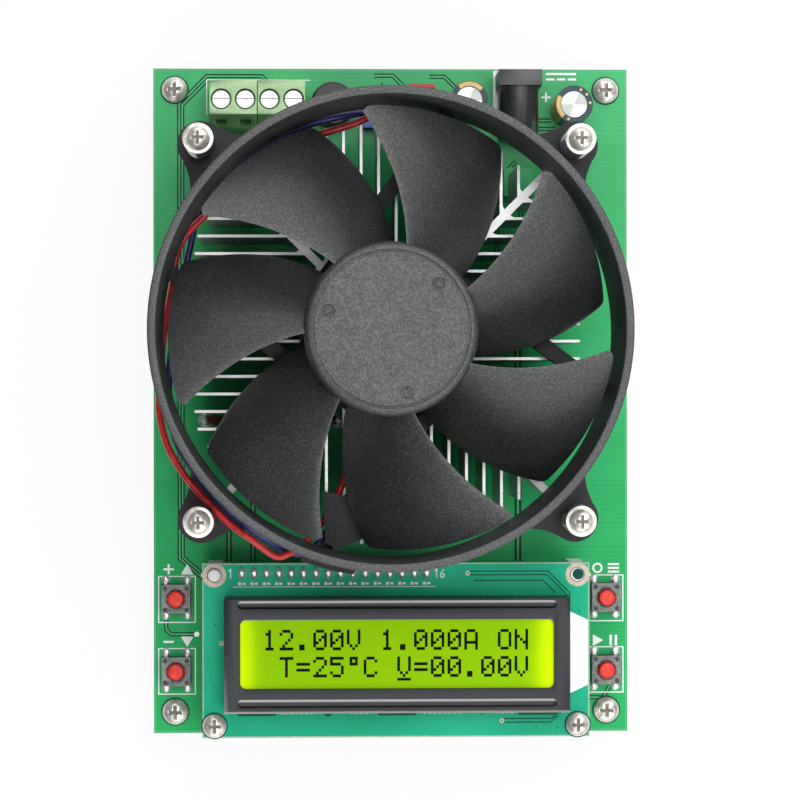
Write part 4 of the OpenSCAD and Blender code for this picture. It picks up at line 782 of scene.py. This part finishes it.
def board_print():
    dark, pale, white, pads = Shape(), Shape(), Shape(), Shape()

    def track(path, lines=2, pitch=0.62, width=0.3):
        """Tracks side by side, seen as the dark clearances along them."""
        for k in range(lines):
            dark.strip(beside(path, (k - (lines - 1) / 2) * pitch), width, 0, 0.012)
        for k in range(lines - 1):
            pale.strip(beside(path, (k - (lines - 2) / 2) * pitch), pitch - width - 0.06, 0, 0.011)

    track([(-39.0, -37.6), (-44.23, -33.1), (-44.23, 62.4), (-38.6, 68.1), (-27.3, 68.1), (-26.2, 67.0)], 3)
    track([(-47.4, -45.2), (-47.4, -48.2), (-46.4, -49.2), (-41, -49.2)])
    track([(46.2, -60.6), (44.9, -62.9), (38, -62.9)])
    track([(26.85, 11.0), (26.85, -34.0)], 2, 0.95, 0.5)
    track([(-29.1, -34), (-29.1, -20)], 2, 0.8, 0.4)
    track([(-34.2, -34), (-34.2, -24)], 2, 0.8, 0.4)
    track([(26.5, 50.5), (22.5, 46.5), (22.5, 28)])
    track([(30.5, 46.4), (27.5, 43.4), (27.5, 30)])
    track([(31.0, 57.4), (35.0, 57.4)])
    track([(31.0, 59.2), (34.0, 59.2)])
    track([(-3.5, 68.6), (0.5, 68.6), (3.0, 66.1)])
    track([(8.2, 68.4), (11.4, 68.4), (13.6, 66.2)])
    track([(-2.2, 66.8), (0.2, 64.4)])
    # Painted highlight: a pale line just inside the board's edge.
    pale.strip([(-49.7, -69.7), (49.7, -69.7), (49.7, 69.7), (-49.7, 69.7)], 0.2, 0, 0.015, True)
    for y, way in ((-35.5, 1), (-50.8, -1)):
        white.prism([(-44.3, y - 1.1 * way), (-41.7, y - 1.1 * way), (-43.0, y + 1.1 * way)], 0, 0.035)
        white.box(-46.9, y, 2.2, 0.45, 0, 0.035)
    white.box(-46.9, -35.5, 0.45, 2.2, 0, 0.036)
    white.ring(43.7, -35.5, 0.7, 1.1, 0, 0.035)
    for y in (-36.3, -35.5, -34.7):
        white.box(47.1, y, 2.4, 0.4, 0, 0.035)
    white.prism([(42.7, -49.6), (42.7, -52.0), (44.9, -50.8)], 0, 0.035)
    for x in (46.5, 47.6):
        white.box(x, -50.8, 0.5, 2.2, 0, 0.035)
    white.box(36.1, 69.05, 6.4, 0.45, 0, 0.035)
    for x in (33.8, 36.1, 38.4):
        white.box(x, 67.9, 1.8, 0.45, 0, 0.035)
    white.box(32.9, 64.1, 2.0, 0.4, 0, 0.035)
    white.box(32.9, 64.1, 0.4, 2.0, 0, 0.036)
    pads.disc(-41, -49.2, 0.55, 0, 0.06)

    def frame_line(x0, y0, x1, y1):
        white.strip([(x0, y0), (x1, y0), (x1, y1), (x0, y1)], 0.22, 0, 0.035, True)

    for x0, x1 in ((-49.0, -41.3), (41.9, 49.1)):
        for y0, y1 in ((-46.7, -37.0), (-61.8, -52.2)):
            frame_line(x0, y0, x1, y1)
    white.strip([(-38.75, 60.1), (-38.75, 67.6), (-17.0, 67.6)], 0.2, 0, 0.035)
    white.box(22.4, 63.5, 1.4, 12.4, 0, 0.035)
    for x, y in SWITCHES.values():
        for sx in (-1, 1):
            for sy in (-1, 1):
                pads.dome(x + 2.25 * sx, y + 3.62 * sy, 0.98, 1.1, 0, 0.55)
    # Painted shadow: dark rings round the corner screw heads.
    for x, y in CORNERS:
        dark.ring(x, y, 1.7, 3.0, 0, 0.03)
    for x in (-39, -11):
        pads.dome(x, -4.1, 1.75, 1.75, 0, 1.2)
        pads.dome(x, -4.1, 1.15, 1.15, 0.9, SHUNT - 0.7, 24, 9, 0.6)
    vias = (
        (-26.4, -15.6), (-25.1, -15.6), (30.2, -10.4), (31.8, -8.6), (20.2, 49.6), (34.6, 40.2), (-20.5, 46.8),
    )
    for x, y in vias:
        pads.ring(x, y, 0.2, 0.45, 0, 0.03, 20)
    dark.build("board_clearances_and_screw_shadows", "mask_dark", "board", "board_green")
    pale.build("board_tracks_and_edge_highlight", "mask_pale", "board", "board_green")
    white.build("board_print", "silk_white", "board", "board_green")
    pads.build("board_pads", "solder", "board", "solder", 40)


# Display module

FONT = {
    "0": "01110 10001 10011 10101 11001 10001 01110", "1": "00100 01100 00100 00100 00100 00100 01110",
    "2": "01110 10001 00001 00010 00100 01000 11111", "5": "11111 10000 11110 00001 00001 10001 01110",
    ".": "00000 00000 00000 00000 00000 01100 01100", "V": "10001 10001 10001 10001 10001 01010 00100",
    "A": "01110 10001 10001 10001 11111 10001 10001", "O": "01110 10001 10001 10001 10001 10001 01110",
    "N": "10001 10001 11001 10101 10011 10001 10001", "T": "11111 00100 00100 00100 00100 00100 00100",
    "=": "00000 00000 11111 00000 11111 00000 00000", "C": "01110 10001 10000 10000 10000 10001 01110",
    "o": "01110 01010 01110 00000 00000 00000 00000", " ": "00000 00000 00000 00000 00000 00000 00000",
}
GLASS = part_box("lcd_glass")[1].z * 1000 - BOARD_TOP
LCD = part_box("lcd_board")[1].z * 1000 - BOARD_TOP


def display_rows():
    lit = Shape()
    """Two rows of characters and a cursor, each dot a thin plate on the glass."""
    x0, upper, lower, pitch, step_x, step_y = -26.71, -46.68, -52.20, 3.424, 0.5545, 0.6
    cursor = 8
    for top, words in ((upper, "12.00V 1.000A ON"), (lower, " T=25oC V=00.00V")):
        for i, letter in enumerate(words):
            for k, bits in enumerate(FONT[letter].split()):
                for j, bit in enumerate(bits):
                    if bit == "1":
                        x, y = x0 + pitch * i + step_x * (j + 0.5), top - step_y * (k + 0.5)
                        lit.box(x, y, 0.552, 0.592, GLASS, 0.02)
    for j in range(5):
        lit.box(x0 + pitch * cursor + step_x * (j + 0.5), lower - step_y * 7.75, 0.552, 0.55, GLASS, 0.02)
    lit.build("display_dots", "segment_black", "board", "display_glass")


def display_board():
    dark, white, pads, tan, rim = Shape(), Shape(), Shape(), Shape(), Shape()

    def gap_pair(path, apart=0.75):
        dark.strip(path, 0.24, LCD, 0.02)
        dark.strip([(x - 0.3 * apart, y - apart) for x, y in path], 0.24, LCD, 0.02)

    gap_pair([(15.9, -35.3), (32.1, -35.3), (36.6, -39.8), (36.6, -43.5)])
    gap_pair([(22.9, -65.8), (32.8, -65.8), (34.4, -64.5)])
    dark.strip([(16.8, -37.2), (31.0, -37.2), (33.6, -39.8)], 0.24, LCD, 0.02)
    for x, y in ((15.5, -35.7), (22.5, -66.2), (-35.3, -50.0)):
        tan.ring(x, y, 0.22, 0.5, LCD, 0.04, 20)
    for x in (-28.1, 0.85, 29.8):
        dark.stadium(x, -64.45, 8.2, 1.1, LCD, 0.025)
    for start, count in ((-22.9, 7), (-8.6, 4), (6.6, 8), (21.6, 4)):
        for i in range(count):
            tan.box(start + 1.02 * i, -64.45, 0.45, 0.5, LCD, 0.04)
    dark.disc(-13.4, -64.3, 0.9, LCD, 0.02)
    vias = (
        (-36.9, -58.9), (-36.6, -46.2), (38.6, -43.6), (29.6, -67.6), (34.1, -67.6), (18.2, -64.9), (-33.6, -61.3),
    )
    for x, y in vias:
        dark.disc(x, y, 0.16, LCD, 0.02, 12)
    white.strip([(-33.0, -38.4), (8.8, -38.4)], 0.12, LCD, 0.02)
    white.strip([(-33.45, -36.6), (-33.45, -34.8), (-33.85, -35.2)], 0.2, LCD, 0.02)
    one = 9.05
    white.strip([(one, -36.6), (one, -34.8), (one - 0.4, -35.2)], 0.2, LCD, 0.02)
    white.strip([(one + 1.5, -34.9), (one + 0.9, -35.6), (one + 0.75, -36.2), (one + 1.1, -36.6), (one + 1.55, -36.3),
                 (one + 1.5, -35.85), (one + 0.85, -35.9)], 0.18, LCD, 0.02)
    for i in range(16):
        x = -31.1 + 2.54 * i
        pads.dome(x, -35.6, 0.74, 1.34, LCD, 1.15, 24, 9, 0.75)
        white.strip([(x - 0.8, -37.75), (x - 0.2, -37.75)], 0.6, LCD, 0.02)
        white.strip([(x + 0.05, -37.75), (x + 0.75, -37.75)], 0.42, LCD, 0.02)
    for sx in (-1, 1):
        tan.ring(LCD_X + LCD_HOLE * sx, -36.0, 1.52, 2.45, LCD, 0.05)
        # Painted shadow: dark ring round each lower display screw.
        dark.ring(LCD_X + LCD_HOLE * sx, -67.0, 1.6, 2.75, LCD, 0.04)
    # Painted highlight: a pale line just inside the display board's edge.
    inset = 0.16
    west, east, south, north = -39.3 + inset, 40.7 - inset, -69.5 + inset, -33.5 - inset
    rim.strip([(west, south), (west, north), (east, north), (east, south)], 0.22, LCD, 0.02, True)
    dark.build("display_clearances_and_screw_shadows", "lcd_mask_dark", "board", "display_board_green")
    white.build("display_print", "silk_white", "board", "display_board_green")
    pads.build("display_pads", "solder", "board", "solder", 45)
    tan.build("display_rings", "pad_tan", "board", "solder", 40)
    rim.build("display_edge_highlight", "edge_pale", "board", "display_board_green")


# The display's peg at its upper left, and a dark disc of painted shade in the open hole at its upper right

def display_pegs():
    pegs = Shape()
    pegs.disc(-36.8, -36.0, 1.25, LCD - 0.01, 1.22)
    pegs.dome(-36.8, -36.0, 1.25, 1.25, LCD + 1.2, 0.3, 28, 6, 0.3)
    pegs.build("display_pegs", "nylon_white", "board", "nylon_white", 40)
    hole = Shape()
    # Painted shade: a dark disc over the open hole.
    hole.disc(38.35, -35.95, 1.15, LCD - 0.01, 0.03)
    hole.build("display_hole_shade", "lcd_mask_dark", "board", "nylon_white")


BEAD_FRONT = -61.7


def bezel_beads():
    """The two pressed grooves along the display frame, dished from lip to floor."""
    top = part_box("lcd_bezel")[1].z * 1000 - BOARD_TOP
    n = 12
    for side, y in (("back", -41.6), ("front", BEAD_FRONT)):
        dish = Shape()
        points, faces = [], []
        for half, deep in ((0.87, 0.0), (0.72, 0.08), (0.55, 0.2), (0.36, 0.29), (0.14, 0.33)):
            for cx, start in ((1, -90), (-1, 90)):
                for i in range(n + 1):
                    turn = math.radians(start + 180 * i / n)
                    points.append((LCD_X + cx * 31.75 + half * math.cos(turn), y + half * math.sin(turn), top - deep))
        count = 2 * (n + 1)
        for k in range(4):
            for i in range(count):
                j = (i + 1) % count
                faces.append([k * count + i, k * count + j, (k + 1) * count + j, (k + 1) * count + i])
        faces.append(list(range(4 * count, 5 * count)))
        dish.add(points, faces)
        dish.build("bezel_bead_" + side, "bezel_black", "board", "bezel_black", 60, False)


# Push switches: dark arcs round each cap, the black switch body with painted shade in the opening; heads of the cover
# posts, crowned caps

def switch_details():
    gaps, posts, lips = Shape(), Shape(), Shape()
    top = 3.42
    for body, (x, y) in SWITCHES.items():
        lips.ring(x, y, 1.78, 2.16, top - 0.06, 0.07)
        # Black arcs stand for the switch body seen in the shaded opening round the cap, partly painted shade.
        for k in range(8):
            turns = [math.radians(45 * k + 4 + 37 * i / 6) for i in range(7)]
            gaps.strip([(x + 1.96 * math.cos(a), y + 1.96 * math.sin(a)) for a in turns], 0.34, top, 0.05)
        for sx in (-1, 1):
            for sy in (-1, 1):
                posts.dome(x + 2.15 * sx, y + 2.2 * sy, 0.55, 0.55, top, 0.3, 20, 6, 0.5)
        crown = Shape()
        crown.dome(x, y, 1.6, 1.6, 4.99, 0.16, 32, 6)
        crown.build("cap_crown_" + body, "cap_red", body + "_cap", "cap_red", 40)
    lips.build("switch_lips", "switch_plate", "board", "switch_plate")
    gaps.build("switch_gaps", "part_black", "board", "part_black")
    posts.build("switch_posts", "part_black", "board", "part_black", 50)


# Screws: painted shade on the floor of each cross recess, a painted shadow ring under the heads of the clamping screws

def screw_recess_shades():
    cross, gap_shade = Shape(), Shape()
    deep, flange = 0.95, 2.22
    lower = [(LCD_X + sx * LCD_HOLE, -67.0) for sx in (-1, 1)]
    for node, places, r in (("board_screws", CORNERS, 2.7), ("clamp_screws", LUGS, 2.35), ("lcd_screws", lower, 2.6)):
        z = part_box(node)[1].z * 1000 - BOARD_TOP - deep
        for x, y in places:
            # Painted shade on the floor of each cross recess.
            cross.box(x, y, r, r * 0.24, z, 0.4)
            cross.box(x, y, r * 0.24, r, z, 0.401)
            if node == "clamp_screws":
                # Painted shadow ring under each clamping screw's head.
                gap_shade.ring(x, y, 2.3, 2.72, z + deep - flange, 0.04)
    cross.build("screw_recess_shades", "screw_recess", "board", "screw_nickel")
    gap_shade.build("screw_gap_shadows", "part_black", "board", "part_black")


# Capacitor stripes

def capacitor_stripes():
    gold = Shape()
    for (x, y), start, stop in ((CAN_RIGHT, 150, 228), (CAN_LEFT, 40, 128)):
        profile = [(2.85, 11.515), (3.72, 11.515), (3.86, 11.46), (3.915, 11.3), (3.915, 1.0)]
        steps = 18
        m = len(profile)
        points = []
        for i in range(steps + 1):
            a = math.radians(start + (stop - start) * i / steps)
            points += [(x + r * math.cos(a), y + r * math.sin(a), z) for r, z in profile]
        starts = [i * m + k for i in range(steps) for k in range(m - 1)]
        gold.add(points, [[s, s + 1, s + m + 1, s + m] for s in starts])
    x, y = CAN_RIGHT
    for turn in (65, 38, 5, -112):
        a = math.radians(turn)
        gold.disc(x + 3.3 * math.cos(a), y + 3.3 * math.sin(a), 0.3, 11.49, 0.03, 12)
    gold.build("capacitor_bands", "sleeve_gold", "board", "capacitor_sleeve", 50)


fan_wheel()
fan_ring()
fan_leads()
springs()
board_print()
display_rows()
display_board()
display_pegs()
bezel_beads()
switch_details()
screw_recess_shades()
capacitor_stripes()
soften("lcd_bezel", 0.12, slide=(-63.6, -62.0, BEAD_FRONT + 62.8))
soften("jack_body", 0.3, "jack_black")
soften("terminal_housings", 0.2)
soften("board_screws", 0.18)
soften("clamp_screws", 0.18)
soften("lcd_screws", 0.16)
soften("switch_covers", 0.08)


# Floor, light and camera

def floor():
    """Pale floor that shows white to the camera and keeps the object's shadow."""
    mesh = bpy.data.meshes.new("floor")
    mesh.from_pydata([(-2, -2, 0), (2, -2, 0), (2, 2, 0), (-2, 2, 0)], [], [[0, 1, 2, 3]])
    obj = bpy.data.objects.new("floor", mesh)
    scene.collection.objects.link(obj)
    mat = bpy.data.materials.new("floor")
    mat.use_nodes = True
    tree = mat.node_tree
    tree.nodes.clear()
    out = tree.nodes.new("ShaderNodeOutputMaterial")
    mixer = tree.nodes.new("ShaderNodeMixShader")
    plain = tree.nodes.new("ShaderNodeBsdfDiffuse")
    plain.inputs["Color"].default_value = (0.95, 0.95, 0.95, 1)
    white = tree.nodes.new("ShaderNodeEmission")
    white.inputs["Color"].default_value = (1, 1, 1, 1)
    white.inputs["Strength"].default_value = 1.0
    path = tree.nodes.new("ShaderNodeLightPath")
    share = tree.nodes.new("ShaderNodeMath")
    share.operation = "MULTIPLY"
    share.inputs[1].default_value = 0.9
    tree.links.new(path.outputs["Is Camera Ray"], share.inputs[0])
    tree.links.new(share.outputs[0], mixer.inputs[0])
    tree.links.new(plain.outputs[0], mixer.inputs[1])
    tree.links.new(white.outputs[0], mixer.inputs[2])
    tree.links.new(mixer.outputs[0], out.inputs[0])
    mesh.materials.append(mat)


def sky():
    """Dim room light, white behind the object."""
    world = bpy.data.worlds.new("studio")
    scene.world = world
    world.use_nodes = True
    tree = world.node_tree
    tree.nodes.clear()
    out = tree.nodes.new("ShaderNodeOutputWorld")
    mixer = tree.nodes.new("ShaderNodeMixShader")
    room = tree.nodes.new("ShaderNodeBackground")
    room.inputs[0].default_value = (1, 1, 1, 1)
    room.inputs[1].default_value = 0.08
    white = tree.nodes.new("ShaderNodeBackground")
    white.inputs[0].default_value = (1, 1, 1, 1)
    white.inputs[1].default_value = 1.0
    path = tree.nodes.new("ShaderNodeLightPath")
    tree.links.new(path.outputs["Is Camera Ray"], mixer.inputs[0])
    tree.links.new(room.outputs[0], mixer.inputs[1])
    tree.links.new(white.outputs[0], mixer.inputs[2])
    tree.links.new(mixer.outputs[0], out.inputs[0])


def lamp(name, place, aim, size, watts):
    data = bpy.data.lights.new(name, "AREA")
    data.shape = "RECTANGLE"
    data.size, data.size_y = size
    data.energy = watts
    obj = bpy.data.objects.new(name, data)
    obj.location = place
    obj.rotation_euler = (Vector(aim) - Vector(place)).to_track_quat("-Z", "Y").to_euler()
    scene.collection.objects.link(obj)


floor()
sky()
for name, place, size, power in (
        ("top", (0.0, 0.0, 1.1), (0.7, 0.7), 1.1),
        ("top_back", (0.05, 0.4, 1.0), (0.7, 0.6), 4.2),
        ("top_front", (0.05, -0.4, 1.0), (0.6, 0.5), 2.7),
        ("top_right", (0.45, 0.0, 1.0), (0.6, 0.6), 1.8),
        ("back", (0.0, 0.95, 0.5), (0.8, 0.6), 2.9),
        ("front", (0.0, -0.95, 0.5), (0.8, 0.6), 3.0),
        ("back_right", (0.65, 0.65, 0.6), (0.7, 0.6), 2.8),
        ("front_right", (0.65, -0.65, 0.6), (0.7, 0.6), 2.6)):
    lamp(name, place, (0, 0, 0.03), size, power)

eye = bpy.data.cameras.new("camera")
eye.lens = 118.93
eye.sensor_width = 36
camera = bpy.data.objects.new("camera", eye)
camera.location = (-0.015663, 0.000178, 0.56966)
camera.rotation_euler = (-0.0001, -0.0315, -0.0013)
scene.collection.objects.link(camera)
scene.camera = camera
scene.view_settings.view_transform = "Standard"

bpy.context.view_layer.update()
